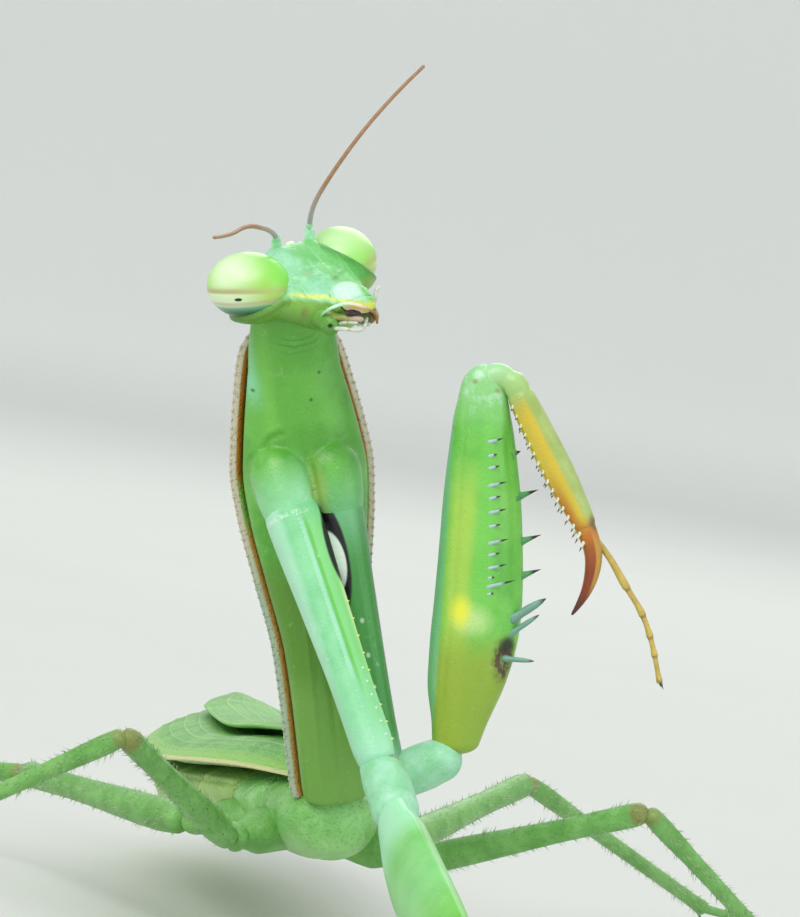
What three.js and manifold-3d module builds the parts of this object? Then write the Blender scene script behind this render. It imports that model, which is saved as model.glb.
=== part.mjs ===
// Praying mantis: an adult female European mantis (Mantis religiosa) at life size, in millimetres.
// It stands low on the floor with its prothorax raised, the left grasping leg held up and half open,
// the right one stepping forward, and its face turned up and to its left.
// +Z is up, the animal faces -Y, and +X is its left side. The floor is the plane z = 0.

import * as THREE from "three";
import { mergeVertices } from "three/addons/utils/BufferGeometryUtils.js";
import Module from "manifold-3d";

const wasm = await Module();
wasm.setup();

const { sin, cos, PI, abs, sign, hypot, atan2, sqrt, min, max } = Math;

// ---- Driving dimensions ----

const gap = 0.12; // clearance between neighbouring pieces
const shell = 0.5; // thickness of wings and other thin plates

const prothoraxLength = 19.6; // hinge on the mesothorax to the neck
const pronotumOverhang = 0.7; // the shield reaches this far past the neck
const pterothoraxLength = 8.4; // mesothorax and metathorax together
const abdomenLength = 28;
const wingLength = 37.4;

const antennaThickness = 0.5;

const foreLeg = { coxa: 11.8, trochanter: 2.9, femur: 15.1, tibia: 7.1 };
const kneeCap = 0.5; // a grasping femur ends this far past the knee's axis
const midLeg = { hip: 3.2, femur: 11.2, tibia: 12.4, tarsus: 7 };
const hindLeg = { hip: 3.8, femur: 15.2, tibia: 17, tarsus: 8.4 };

// Joint places in the body's own frame, whose origin is on the floor below the prothorax hinge.
const hinge = new THREE.Vector3(0, 0, 8);
const prothoraxHeading = { turn: -57, rise: 70 };
const headPlace = new THREE.Vector3(-5.89, -4.895, 28.81); // midway between the eyes
const headFacing = { turn: 0.9, rise: 52.8 };
const headCrown = { turn: -140.1, rise: 30.6 };
const neckFoot = new THREE.Vector3(-5.5, -4.0, 26.2);

// ---- Small helpers ----

// turn is measured from straight ahead (-Y) towards the animal's left, rise from the horizon.
function heading({ turn, rise }) {
  const t = THREE.MathUtils.degToRad(turn);
  const r = THREE.MathUtils.degToRad(rise);
  return new THREE.Vector3(sin(t) * cos(r), -cos(t) * cos(r), sin(r));
}

// A smooth curve through [place, value] stations, with no overshoot between them.
function profile(...list) {
  const secant = (i) => (list[i + 1][1] - list[i][1]) / (list[i + 1][0] - list[i][0]);
  const slopes = list.map((_, i) => {
    if (i === 0) return secant(0);
    if (i === list.length - 1) return secant(i - 1);
    const before = secant(i - 1);
    const after = secant(i);
    return before * after <= 0 ? 0 : (2 * before * after) / (before + after);
  });
  return (place) => {
    const x = min(max(place, list[0][0]), list.at(-1)[0]);
    let i = list.findIndex((s) => s[0] >= x);
    i = max(i, 1) - 1;
    const span = list[i + 1][0] - list[i][0];
    const u = (x - list[i][0]) / span;
    const bump = u * u * (3 - 2 * u);
    return (
      list[i][1] * (1 - bump) +
      list[i + 1][1] * bump +
      span * u * (1 - u) * ((1 - u) * slopes[i] - u * slopes[i + 1])
    );
  };
}

const level = (value) => () => value;

// The turn that lays local Z along a direction and keeps local -Y towards the given front.
function turnTo(along, front) {
  const z = along.clone().normalize();
  const y = front.clone().negate();
  y.addScaledVector(z, -y.dot(z)).normalize();
  const x = new THREE.Vector3().crossVectors(y, z);
  return new THREE.Quaternion().setFromRotationMatrix(new THREE.Matrix4().makeBasis(x, y, z));
}

function closed(geometry) {
  geometry.deleteAttribute("normal");
  geometry.deleteAttribute("uv");
  return mergeVertices(geometry, 1e-4);
}

// Moves every vertex of a geometry by a function of its place.
function reshape(geometry, place) {
  const p = geometry.getAttribute("position");
  for (let i = 0; i < p.count; i++) {
    const to = place(p.getX(i), p.getY(i), p.getZ(i));
    p.setXYZ(i, to.x, to.y, to.z);
  }
  return closed(geometry);
}

// A straight limb piece from the origin along +Z. wide and deep are half sizes along local X and Y.
function limb(shape, grow = 0) {
  const { length, wide, deep, bowX = level(0), bowY = level(0), square = 2 } = shape;
  const { sides = 8, rings = 6 } = shape;
  const blank = new THREE.CylinderGeometry(1, 1, 1, sides, rings).rotateX(PI / 2);
  return reshape(blank, (x, y, z) => {
    const even = z + 0.5;
    const t = even - (0.35 * sin(2 * PI * even)) / (2 * PI);
    const r = hypot(x, y);
    const a = atan2(y, x);
    const c = sign(cos(a)) * abs(cos(a)) ** (2 / square);
    const s = sign(sin(a)) * abs(sin(a)) ** (2 / square);
    return new THREE.Vector3(
      bowX(t) + r * c * (wide(t) + grow),
      bowY(t) + r * s * (deep(t) + grow),
      t * (length + 2 * grow) - grow,
    );
  });
}

// A piece swept along a curve. deep is its half size below the curve and crown the one above it.
function sweep(shape, grow = 0) {
  const { path, wide, deep, crown = deep, up, sides = 8, rings = 10 } = shape;
  const blank = new THREE.CylinderGeometry(1, 1, 1, sides, rings).rotateX(PI / 2);
  return reshape(blank, (x, y, z) => {
    const t = min(max(z + 0.5, 0), 1);
    const tangent = path.getTangentAt(t);
    const dorsal = up.clone().addScaledVector(tangent, -up.dot(tangent)).normalize();
    const side = new THREE.Vector3().crossVectors(dorsal, tangent);
    const end = t < 1e-6 ? -grow : t > 1 - 1e-6 ? grow : 0;
    return path
      .getPointAt(t)
      .addScaledVector(side, x * (wide(t) + grow))
      .addScaledVector(dorsal, y * ((y > 0 ? crown(t) : deep(t)) + grow))
      .addScaledVector(tangent, end);
  });
}

// An egg-shaped solid with its own half sizes.
function egg({ x, y, z, across = 12, down = 9 }, grow = 0) {
  return closed(new THREE.SphereGeometry(1, across, down).scale(x + grow, y + grow, z + grow));
}

// A curved plate: place(u, v, h) puts the point across, along and through it, each from 0 to 1.
function plate({ place, across = 10, along = 14 }) {
  const blank = new THREE.BoxGeometry(1, 1, 1, across, along, 1);
  return reshape(blank, (x, y, z) => place(x + 0.5, y + 0.5, z + 0.5));
}

function cone(at, direction, length, radius, sides = 3) {
  const aim = direction.clone().normalize();
  const turn = new THREE.Quaternion().setFromUnitVectors(new THREE.Vector3(0, 1, 0), aim);
  const g = new THREE.ConeGeometry(radius, length, sides, 1).translate(0, length / 2, 0);
  return closed(g.applyQuaternion(turn).translate(at.x, at.y, at.z));
}

// ---- Joining and cutting ----

function solidOf(geometry) {
  return new wasm.Manifold(
    new wasm.Mesh({
      numProp: 3,
      vertProperties: new Float32Array(geometry.getAttribute("position").array),
      triVerts: new Uint32Array(geometry.getIndex().array),
    }),
  );
}

function geometryOf(solid) {
  const mesh = solid.getMesh();
  return new THREE.BufferGeometry()
    .setAttribute("position", new THREE.BufferAttribute(new Float32Array(mesh.vertProperties), 3))
    .setIndex(new THREE.BufferAttribute(new Uint32Array(mesh.triVerts), 1));
}

const joined = (first, ...rest) =>
  geometryOf(rest.reduce((sum, g) => sum.add(solidOf(g)), solidOf(first)));

// ---- Colours ----

const finish = (color, roughness = 0.5) =>
  new THREE.MeshStandardMaterial({ color, roughness, metalness: 0 });
const green = {
  leaf: finish(0x5fae35),
  pale: finish(0x8ed98a),
  eye: finish(0x9fe85f, 0.2),
  wing: finish(0x58a53c),
  belly: finish(0x9fcf5a),
  leg: finish(0x74b84a),
};
const tan = finish(0x9a6a48);
const amber = finish(0xb9a12c);
const cream = finish(0xe6dcc0);

// ---- The tree of named pieces ----

const mantis = new THREE.Group();
const grown = new Map(); // each piece's own shape, one gap larger, which cuts its neighbours

// Adds a piece. shape(grow) makes its geometry in the frame of the group that holds it.
function piece(holder, name, material, shape) {
  const mesh = new THREE.Mesh(shape(0), material);
  mesh.name = name;
  grown.set(mesh, shape(gap));
  holder.add(mesh);
  return mesh;
}

// A group at a joint: local Z runs along the piece and local -Y is its front.
function joint(holder, place, along, front) {
  const group = new THREE.Group();
  group.position.copy(place);
  group.quaternion.copy(turnTo(along, front));
  holder.add(group);
  return group;
}

// Cuts a piece back from its neighbours, so that they meet with one gap between them.
function fitAround(mesh, ...neighbours) {
  mantis.updateMatrixWorld(true);
  const toMesh = mesh.matrixWorld.clone().invert();
  let solid = solidOf(mesh.geometry);
  for (const other of neighbours) {
    const toOther = toMesh.clone().multiply(other.matrixWorld);
    const cutter = grown.get(other).clone().applyMatrix4(toOther);
    solid = solid.subtract(solidOf(cutter));
  }
  const largest = solid.decompose().sort((a, b) => b.volume() - a.volume())[0];
  mesh.geometry = geometryOf(largest);
}

// ---- Head ----

const headGroup = joint(mantis, headPlace, heading(headCrown), heading(headFacing));

const headLow = -3.2;
const headTop = 1.4;
const headHalfWidth = profile(
  [headLow, 1.05],
  [-2.6, 1.4],
  [-2, 1.75],
  [-0.9, 2.6],
  [0.2, 3.05],
  [1, 2.35],
  [headTop, 1.2],
);
// How far the face stands before the head's own plane, and the back of the head behind it.
const faceFront = profile([headLow, 1.0], [-2.6, 1.32], [-1.9, 1.42], [0, 1.38], [1, 1.08], [headTop, 0.5]);
const headBehind = profile([headLow, 0.2], [-2.6, 0.5], [-1.5, 0.85], [0, 1.1], [0.9, 0.85], [headTop, 0.2]);

function headShape(grow) {
  const height = headTop - headLow;
  const at = (t) => headLow + t * height;
  return limb(
    {
      length: height,
      wide: (t) => headHalfWidth(at(t)),
      deep: (t) => (faceFront(at(t)) + headBehind(at(t))) / 2,
      bowY: (t) => (headBehind(at(t)) - faceFront(at(t))) / 2,
      sides: 14,
      rings: 7,
      square: 2.2,
    },
    grow,
  ).translate(0, 0, headLow);
}

const eye = { x: 1.4, y: 1.28, z: 1.69, tilt: 0.57, lean: 0.42, out: 2.35, forward: 0.22, up: 0.13 };

function eyeShape(side) {
  return (grow) =>
    egg({ x: eye.x, y: eye.y, z: eye.z, across: 12, down: 9 }, grow)
      .rotateX(-eye.lean)
      .rotateY(side * eye.tilt)
      .translate(side * eye.out, -eye.forward, eye.up);
}

// A cheek swells behind the low end of each eye.
const cheekShape = (side, grow) =>
  egg({ x: 1.0, y: 0.62, z: 1.05, across: 8, down: 6 }, grow).translate(side * 2.05, 0.3, -0.74);

const head = piece(headGroup, "head", green.leaf, (grow) =>
  joined(headShape(grow), cheekShape(1, grow), cheekShape(-1, grow)),
);
const eyes = [1, -1].map((side) =>
  piece(headGroup, side > 0 ? "eye_left" : "eye_right", green.eye, eyeShape(side)),
);

// The upper lip and its base bulge out over the jaws at the low end of the face.
const clypeus = piece(headGroup, "clypeus_labrum", green.pale, (grow) =>
  limb(
    {
      length: 2.0,
      wide: profile([0, 0.35], [0.15, 0.6], [0.35, 0.76], [0.7, 0.76], [0.9, 0.5], [1, 0.3]),
      deep: profile([0, 0.2], [0.3, 0.34], [0.8, 0.36], [1, 0.25]),
      sides: 10,
      rings: 5,
    },
    grow,
  ).translate(0.14, -1.42, -4.02),
);

// The jaws close under the lip, the right one's tip in front.
const jawPaths = {
  mandible_left: [
    [0.95, -0.85, -2.95],
    [0.98, -0.95, -3.55],
    [0.68, -1.05, -4.1],
  ],
  mandible_right: [
    [-0.95, -0.9, -2.95],
    [-0.7, -1.15, -3.55],
    [-0.15, -1.38, -4.2],
  ],
};
const jaws = Object.entries(jawPaths).map(([name, places]) => {
  const path = new THREE.CatmullRomCurve3(places.map((p) => new THREE.Vector3(...p)));
  const thick = profile([0, 0.42], [0.5, 0.36], [1, 0.25]);
  return piece(headGroup, name, green.leaf, (grow) =>
    sweep({ path, wide: thick, deep: thick, up: new THREE.Vector3(0, 1, 0), sides: 6, rings: 3 }, grow),
  );
});

const maxillae = piece(headGroup, "maxillae_labium", green.belly, (grow) => {
  const chin = limb(
    {
      length: 2.0,
      wide: profile([0, 0.5], [0.4, 0.85], [1, 1.0]),
      deep: profile([0, 0.25], [0.5, 0.42], [1, 0.4]),
      bowY: profile([0, -0.25], [1, 0.1]),
      sides: 10,
      rings: 4,
    },
    grow,
  ).translate(0.05, -0.15, -3.45);
  const lobes = [1, -1].map((side) =>
    egg({ x: 0.32, y: 0.45, z: 0.5, across: 8, down: 6 }, grow).translate(side * 0.9, -0.5, -3.4),
  );
  return joined(chin, ...lobes);
});

// Palps are short jointed feelers that curl under the jaws.
function palpShape(places) {
  const path = new THREE.CatmullRomCurve3(places.map((p) => new THREE.Vector3(...p)));
  const thick = level(0.25);
  return (grow) =>
    sweep({ path, wide: thick, deep: thick, up: new THREE.Vector3(0, 1, 0), sides: 6, rings: 4 }, grow);
}

const palpPlaces = {
  maxillary_palp_left: [
    [0.95, -0.1, -3.0],
    [1.48, -0.8, -2.97],
    [1.69, -1.11, -2.75],
    [1.95, -1.18, -2.6],
  ],
  maxillary_palp_right: [
    [-0.95, -0.3, -3.2],
    [-0.91, -0.95, -4.05],
    [-0.3, -1.12, -4.45],
    [0.27, -1.14, -4.2],
  ],
  labial_palp_left: [
    [0.45, 0.1, -3.2],
    [0.55, -0.35, -3.95],
    [0.35, -0.6, -4.2],
  ],
  labial_palp_right: [
    [-0.45, 0.1, -3.2],
    [-0.55, -0.35, -3.95],
    [-0.35, -0.6, -4.2],
  ],
};
const palps = Object.entries(palpPlaces).map(([name, places]) =>
  piece(headGroup, name, cream, palpShape(places)),
);

// Feelers: a short scape on the brow and a long thin flagellum.
const scapes = {
  left: { root: new THREE.Vector3(0.88, -0.95, 0.7), aim: new THREE.Vector3(0.15, -0.5, 0.42) },
  right: { root: new THREE.Vector3(-0.7, -0.95, 0.72), aim: new THREE.Vector3(0, -0.42, 0.25) },
};

function scapeShape(tail) {
  const thick = profile([0, 0.25], [0.5, 0.28], [1, 0.25]);
  const { root, aim } = scapes[tail];
  const turn = turnTo(aim, new THREE.Vector3(1, 0, 0));
  return (grow) =>
    limb({ length: 0.85, wide: thick, deep: thick, sides: 8, rings: 3 }, grow)
      .applyQuaternion(turn)
      .translate(root.x, root.y, root.z);
}

// Each flagellum runs through a few named places in the body's frame.
const flagellumPlaces = {
  left: [
    [-5.66, -4.68, 30.99],
    [-5.73, -5.1, 31.46],
    [-5.7, -5.59, 32.04],
    [-5.28, -6.53, 33.41],
    [-4.52, -7.31, 35.1],
    [-3.54, -7.84, 36.74],
    [-2.78, -8.15, 37.82],
  ],
  right: [
    [-7.05, -5.55, 30.3],
    [-7.28, -5.9, 30.45],
    [-7.57, -6.29, 30.55],
    [-7.91, -6.73, 30.59],
    [-8.31, -7.26, 30.61],
    [-8.65, -7.8, 30.56],
    [-8.92, -8.26, 30.47],
    [-9.41, -9.3, 30.25],
    [-10.04, -10.81, 30.1],
    [-10.78, -13.22, 30.03],
  ],
};

const feelers = [1, -1].map((side) => {
  const tail = side > 0 ? "left" : "right";
  const scape = piece(headGroup, "antenna_base_" + tail, green.pale, scapeShape(tail));
  const path = new THREE.CatmullRomCurve3(flagellumPlaces[tail].map((p) => new THREE.Vector3(...p)));
  const thick = level(antennaThickness / 2);
  const over = new THREE.Vector3(0.3, 1, 0.2);
  const flagellum = piece(mantis, "antenna_" + tail, tan, (grow) =>
    sweep({ path, wide: thick, deep: thick, up: over, sides: 6, rings: 10 }, grow),
  );
  return { scape, flagellum };
});

// ---- Neck and prothorax ----

const prothorax = joint(mantis, hinge, heading(prothoraxHeading), new THREE.Vector3(0, -1, 0));

// Half width of the shield's rim, from the hinge to its front end.
const shieldEnd = prothoraxLength + pronotumOverhang;
const shieldHalfWidth = profile(
  [0, 1.75],
  [1, 1.88],
  [4.2, 1.9],
  [6.6, 1.98],
  [9.8, 2.43],
  [12.4, 2.8],
  [14.2, 2.92],
  [15.4, 2.8],
  [17.7, 2.42],
  [19.3, 2.05],
  [shieldEnd, 1.3],
);
const shieldHeight = profile(
  [0, 1.0],
  [4, 1.05],
  [10, 1.2],
  [14, 1.55],
  [17, 1.35],
  [19.5, 1.05],
  [shieldEnd, 0.7],
);
const rimDepth = -0.1; // the rim lies a little in front of the prothorax's own axis

// The pronotum is a saddle-shaped shield over the back and flanks.
function shieldPlace(u, v, h) {
  const z = 0.35 + v * (shieldEnd - 0.35);
  const angle = PI * u;
  const thick = shell * (1 - h);
  const wide = shieldHalfWidth(z) - thick * 0.9;
  const high = shieldHeight(z) - thick;
  return new THREE.Vector3(wide * cos(angle), rimDepth + high * max(sin(angle), 0), z);
}

const pronotum = piece(prothorax, "pronotum", green.leaf, (grow) => {
  const wall = (u, v, h) => {
    const at = shieldPlace(u, v, h);
    const out = shieldPlace(u, v, 1);
    const away = new THREE.Vector3(out.x, out.y - rimDepth, 0).normalize();
    at.addScaledVector(away, h > 0.5 ? grow : -grow);
    at.z += v > 0.999 ? grow : v < 0.001 ? -grow : 0;
    at.y -= u < 0.001 || u > 0.999 ? grow : 0;
    return at;
  };
  return plate({ place: wall, across: 8, along: 10 });
});

// The chest inside it: narrow behind, swelling where the grasping legs join it.
const chest = piece(prothorax, "prosternum", green.pale, (grow) =>
  limb(
    {
      length: prothoraxLength - 0.9,
      wide: (t) => shieldHalfWidth(t * (prothoraxLength - 0.9)) - 0.42,
      deep: profile([0, 0.85], [0.2, 0.9], [0.55, 1.0], [0.76, 1.3], [0.9, 1.15], [1, 0.95]),
      bowY: profile([0, -0.65], [0.6, -0.6], [0.78, -0.75], [1, -0.6]),
      sides: 12,
      rings: 8,
    },
    grow,
  ),
);

const headBack = headPlace.clone().addScaledVector(heading(headFacing), -0.55);
const neck = piece(mantis, "neck", green.pale, (grow) =>
  sweep(
    {
      path: new THREE.CatmullRomCurve3([
        neckFoot.clone().addScaledVector(heading(prothoraxHeading), -1.2),
        neckFoot.clone().add(new THREE.Vector3(-0.05, -0.25, 0.2)),
        headBack.clone().add(new THREE.Vector3(0.05, -0.1, -0.9)),
        headBack,
      ]),
      wide: profile([0, 1.7], [0.5, 1.6], [1, 1.3]),
      deep: profile([0, 1.05], [0.5, 1.0], [1, 0.85]),
      up: new THREE.Vector3(0, 1, 0),
      sides: 10,
      rings: 5,
    },
    grow,
  ),
);

// ---- Grasping legs ----

// A row of spines along a femur or tibia: alternate ones are shorter where the row says so.
function spineRow({ count, from, to, root, lean, tall, short = tall, thick = 0.16 }) {
  return Array.from({ length: count }, (_, i) => {
    const z = from + ((to - from) * i) / (count - 1);
    return cone(root(z), lean, i % 2 ? short : tall, thick);
  });
}

const femurWide = profile(
  [0, 0.75],
  [0.08, 1.05],
  [0.2, 1.55],
  [0.34, 1.72],
  [0.6, 1.57],
  [0.85, 1.15],
  [0.94, 0.9],
  [1, 0.55],
);
const femurDeep = profile([0, 0.6], [0.2, 0.85], [0.4, 0.9], [0.8, 0.7], [1, 0.5]);
const femurBow = profile([0, 0], [0.4, 0.55], [1, 0.1]);

// The inner face of a femur looks to local -Y on the left leg and to +Y on the right one.
const foreFemurShape = (handed) => (grow) => {
  const length = foreLeg.femur + kneeCap;
  const shape = { length, wide: femurWide, deep: femurDeep, bowX: femurBow, sides: 10, rings: 9 };
  const body = limb(shape, grow);
  if (grow) return body;
  const edge = (share, front) => (z) =>
    new THREE.Vector3(
      femurBow(z / length) + femurWide(z / length) * share,
      handed * front * femurDeep(z / length),
      z,
    );
  const lean = (x, y, z) => new THREE.Vector3(x, handed * y, z);
  const inner = spineRow({
    count: 13,
    from: 6.2,
    to: 12.4,
    root: edge(0.72, -0.58),
    lean: lean(0.55, -0.6, 0.12),
    tall: 0.75,
    short: 0.5,
  });
  const outer = spineRow({
    count: 4,
    from: 6.6,
    to: 12.0,
    root: edge(0.85, 0.3),
    lean: lean(1, 0.15, 0.12),
    tall: 1.05,
    thick: 0.2,
  });
  const discoidal = spineRow({
    count: 4,
    from: 3.4,
    to: 5.4,
    root: edge(0.88, -0.1),
    lean: lean(1, -0.25, 0.45),
    tall: 1.25,
    short: 1.6,
    thick: 0.24,
  });
  return joined(body, ...inner, ...outer, ...discoidal);
};

const tibiaWide = profile([0, 0.45], [0.1, 0.52], [0.3, 0.6], [0.6, 0.64], [0.85, 0.53], [1, 0.42]);
const tibiaDeep = profile([0, 0.5], [0.5, 0.6], [1, 0.5]);

// The tibia closes against the femur; its end is drawn out into a hooked claw.
const foreTibiaShape = (handed) => (grow) => {
  const length = foreLeg.tibia;
  const body = limb({ length, wide: tibiaWide, deep: tibiaDeep, sides: 8, rings: 4 }, grow);
  const hook = sweep(
    {
      path: new THREE.CatmullRomCurve3([
        new THREE.Vector3(0, 0, length - 0.5),
        new THREE.Vector3(0.14, 0, length + 0.56),
        new THREE.Vector3(0.32, 0, length + 1.05),
        new THREE.Vector3(0.66, 0, length + 1.56),
        new THREE.Vector3(1.11, 0, length + 2.02),
        new THREE.Vector3(1.63, 0, length + 2.38),
        new THREE.Vector3(2.06, 0, length + 2.61),
      ]),
      wide: profile([0, 0.4], [0.5, 0.34], [1, 0.12]),
      deep: profile([0, 0.42], [0.45, 0.33], [0.8, 0.25], [1, 0.12]),
      up: new THREE.Vector3(-1, 0, 0.6),
      sides: 7,
      rings: 6,
    },
    grow,
  );
  if (grow) return joined(body, hook);
  const edge = (front) => (z) =>
    new THREE.Vector3(tibiaWide(z / length) * 0.8, handed * front * tibiaDeep(z / length), z);
  const inner = spineRow({
    count: 10,
    from: 1.6,
    to: 6.9,
    root: edge(-0.45),
    lean: new THREE.Vector3(1, -0.4 * handed, 0.4),
    tall: 0.62,
    thick: 0.15,
  });
  const outer = spineRow({
    count: 7,
    from: 2.2,
    to: 6.8,
    root: edge(0.45),
    lean: new THREE.Vector3(1, 0.4 * handed, 0.4),
    tall: 0.6,
    thick: 0.15,
  });
  return joined(body, hook, ...inner, ...outer);
};

// A foot of five joints, swelling at the end of each. It follows a path in the body's frame.
function footShape(path, { root = 0.32, tip = 0.25, lumps = 5 } = {}) {
  return (grow) => {
    const thick = (t) => {
      const along = t * lumps;
      const within = along - Math.floor(along - 1e-9);
      return root + (tip - root) * t + 0.06 * within;
    };
    const over = new THREE.Vector3(0.02, 0.01, 1);
    return sweep({ path, wide: thick, deep: thick, up: over, sides: 6, rings: 7 }, grow);
  };
}

const floorCutter = solidOf(closed(new THREE.BoxGeometry(400, 400, 20).translate(0, 0, -10)));
const curveOf = (...places) => new THREE.CatmullRomCurve3(places, false, "centripetal");

// Each grasping leg: where it leaves the chest, how its pieces lie, and where local -Y looks.
// bend is the way from the femur's knee to the root of the tibia.
const grasp = {
  left: {
    shoulder: new THREE.Vector3(-2.88, -4.28, 20.66),
    coxa: { turn: 77, rise: -70.95 },
    trochanter: { turn: 73.7, rise: 32 },
    femur: { turn: -105.4, rise: 85 },
    bend: new THREE.Vector3(1.05, -0.31, 0.34),
    tibia: { turn: 68.3, rise: -54 },
    front: new THREE.Vector3(-0.2, -0.97, 0.1),
    toes: [
      [7.29, -7.37, 20.76],
      [7.8, -7.47, 19.87],
      [8.59, -7.64, 18.87],
      [9.42, -7.77, 17.86],
      [9.96, -7.89, 16.84],
      [10.58, -8.01, 15.16],
    ],
  },
  right: {
    shoulder: new THREE.Vector3(-4.92, -4.54, 20.28),
    coxa: { turn: 46, rise: -57 },
    trochanter: { turn: 5, rise: -30 },
    femur: { turn: 2, rise: -12.8 },
    bend: new THREE.Vector3(0, 0, 0),
    tibia: { turn: -1, rise: -15 },
    front: new THREE.Vector3(-1, 0, 0),
    toes: [
      [-0.35, -32.6, 3.9],
      [-1.4, -34.8, 2.3],
      [-2.3, -36.8, 0.5],
      [-2.8, -38.4, 0.24],
      [-3.4, -40.2, 0.24],
    ],
  },
};

const coxaWide = profile([0, 0.85], [0.08, 1.0], [0.3, 0.9], [0.8, 0.78], [0.95, 0.82], [1, 0.6]);
const coxaDeep = profile([0, 0.9], [0.1, 1.1], [0.4, 0.95], [0.75, 0.8], [0.9, 0.76], [1, 0.6]);

for (const side of ["left", "right"]) {
  const leg = grasp[side];
  const handed = side === "left" ? 1 : -1;
  const tip = leg.shoulder.clone().addScaledVector(heading(leg.coxa), foreLeg.coxa);
  const elbow = tip.clone().addScaledVector(heading(leg.trochanter), foreLeg.trochanter);
  const knee = elbow.clone().addScaledVector(heading(leg.femur), foreLeg.femur);

  const at = (place, along) => joint(mantis, place, heading(along), leg.front);
  const coxa = piece(at(leg.shoulder, leg.coxa), `fore_coxa_${side}`, green.pale, (grow) =>
    limb({ length: foreLeg.coxa, wide: coxaWide, deep: coxaDeep, square: 2.3, sides: 10 }, grow),
  );
  const turning = tip.clone().addScaledVector(heading(leg.trochanter), -0.3);
  const trochanter = piece(
    at(turning, leg.trochanter),
    `fore_trochanter_${side}`,
    green.leaf,
    (grow) =>
      limb(
        {
          length: foreLeg.trochanter + 0.5,
          wide: profile([0, 0.55], [0.4, 0.85], [1, 0.75]),
          deep: profile([0, 0.5], [0.4, 0.75], [1, 0.6]),
          sides: 9,
          rings: 4,
        },
        grow,
      ),
  );
  const femur = piece(
    at(elbow, leg.femur),
    `fore_femur_${side}`,
    green.leaf,
    foreFemurShape(handed),
  );
  const tibia = piece(at(knee.add(leg.bend), leg.tibia), `fore_tibia_${side}`, amber, foreTibiaShape(handed));
  const path = curveOf(...leg.toes.map((place) => new THREE.Vector3(...place)));
  const foot = piece(mantis, `fore_tarsus_${side}`, amber, footShape(path));
  fitAround(coxa, chest, pronotum);
  fitAround(trochanter, coxa);
  fitAround(femur, trochanter);
  fitAround(tibia, femur);
  fitAround(foot, tibia);
}

// ---- Middle and hind body ----

const up = new THREE.Vector3(0, 0, 1);

const sway = (y) => 2.4 * (max(y - 6, 0) / 32) ** 2; // the abdomen swings a little to the left
const bodyLevel = profile([-1, 7.2], [8, 6.6], [22, 5.1], [38, 4.7]);
const bodyAxis = (y) => new THREE.Vector3(sway(y), y, bodyLevel(y));
const bodyPath = (from, to) =>
  curveOf(bodyAxis(from), bodyAxis((2 * from + to) / 3), bodyAxis((from + 2 * to) / 3), bodyAxis(to));
const bodyHalfWidth = profile(
  [-0.9, 1.3],
  [0.5, 2.0],
  [4, 2.4],
  [8, 2.7],
  [14, 3.6],
  [22, 4.3],
  [29, 3.9],
  [34, 2.6],
  [37, 1.1],
);
const bodyUnder = profile(
  [-0.9, 1.2],
  [0.5, 1.8],
  [4, 2.0],
  [8, 1.9],
  [14, 2.1],
  [22, 2.3],
  [29, 2.0],
  [34, 1.4],
  [37, 0.7],
);
const bodyCrown = profile([-0.9, 1.2], [0.5, 1.5], [8, 1.3], [22, 1.3], [29, 1.2], [34, 1.0], [37, 0.6]);

// One length of the body between two stations, with soft shoulders at both ends.
function bodyLength(from, to, { sides = 12, rings = 3, shoulder = 0.14 } = {}) {
  const path = bodyPath(from, to);
  const soft = (t) => 1 - shoulder * (1 - min(1, 8 * min(t, 1 - t)));
  return (grow) =>
    sweep(
      {
        path,
        wide: (t) => bodyHalfWidth(from + t * (to - from)) * soft(t),
        deep: (t) => bodyUnder(from + t * (to - from)) * soft(t),
        crown: (t) => bodyCrown(from + t * (to - from)) * soft(t),
        up,
        sides,
        rings,
      },
      grow,
    );
}

const mesoEnd = 4.2;
const bodyStart = -0.9;
const mesothorax = piece(mantis, "mesothorax", green.pale, bodyLength(bodyStart, mesoEnd, { rings: 5 }));
const metathorax = piece(mantis, "metathorax", green.pale, bodyLength(mesoEnd + gap, pterothoraxLength));

const ringCount = 6;
const ringLength = abdomenLength / ringCount;
const abdomen = Array.from({ length: ringCount }, (_, i) => {
  const from = pterothoraxLength + gap + i * ringLength;
  const shape = bodyLength(from, from + ringLength - gap, { shoulder: 0.1 });
  return piece(mantis, `abdomen_${i + 1}`, green.belly, shape);
});

fitAround(pronotum, mesothorax);
fitAround(chest, pronotum, mesothorax);

const cerci = [1, -1].map((side) => {
  const path = curveOf(
    new THREE.Vector3(1.9 + side * 1.1, 34.6, 4.9),
    new THREE.Vector3(2.1 + side * 1.9, 36.4, 4.8),
    new THREE.Vector3(2.3 + side * 2.5, 38.4, 4.5),
  );
  const thick = profile([0, 0.35], [0.5, 0.38], [1, 0.25]);
  const cercus = piece(mantis, side > 0 ? "cercus_left" : "cercus_right", green.leg, (grow) =>
    sweep({ path, wide: thick, deep: thick, up, sides: 6, rings: 5 }, grow),
  );
  fitAround(cercus, ...abdomen.slice(-2));
  return cercus;
});

const subgenital = piece(mantis, "subgenital_plate", green.belly, (grow) =>
  sweep(
    {
      path: curveOf(
        new THREE.Vector3(1.9, 34.6, 3.7),
        new THREE.Vector3(2.1, 36.6, 3.8),
        new THREE.Vector3(2.25, 38, 4.3),
      ),
      wide: profile([0, 1.2], [0.5, 0.95], [1, 0.35]),
      deep: profile([0, 0.5], [0.5, 0.5], [1, 0.3]),
      up,
      sides: 10,
      rings: 4,
    },
    grow,
  ),
);
fitAround(subgenital, ...abdomen.slice(-2));

// ---- Wings ----

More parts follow.
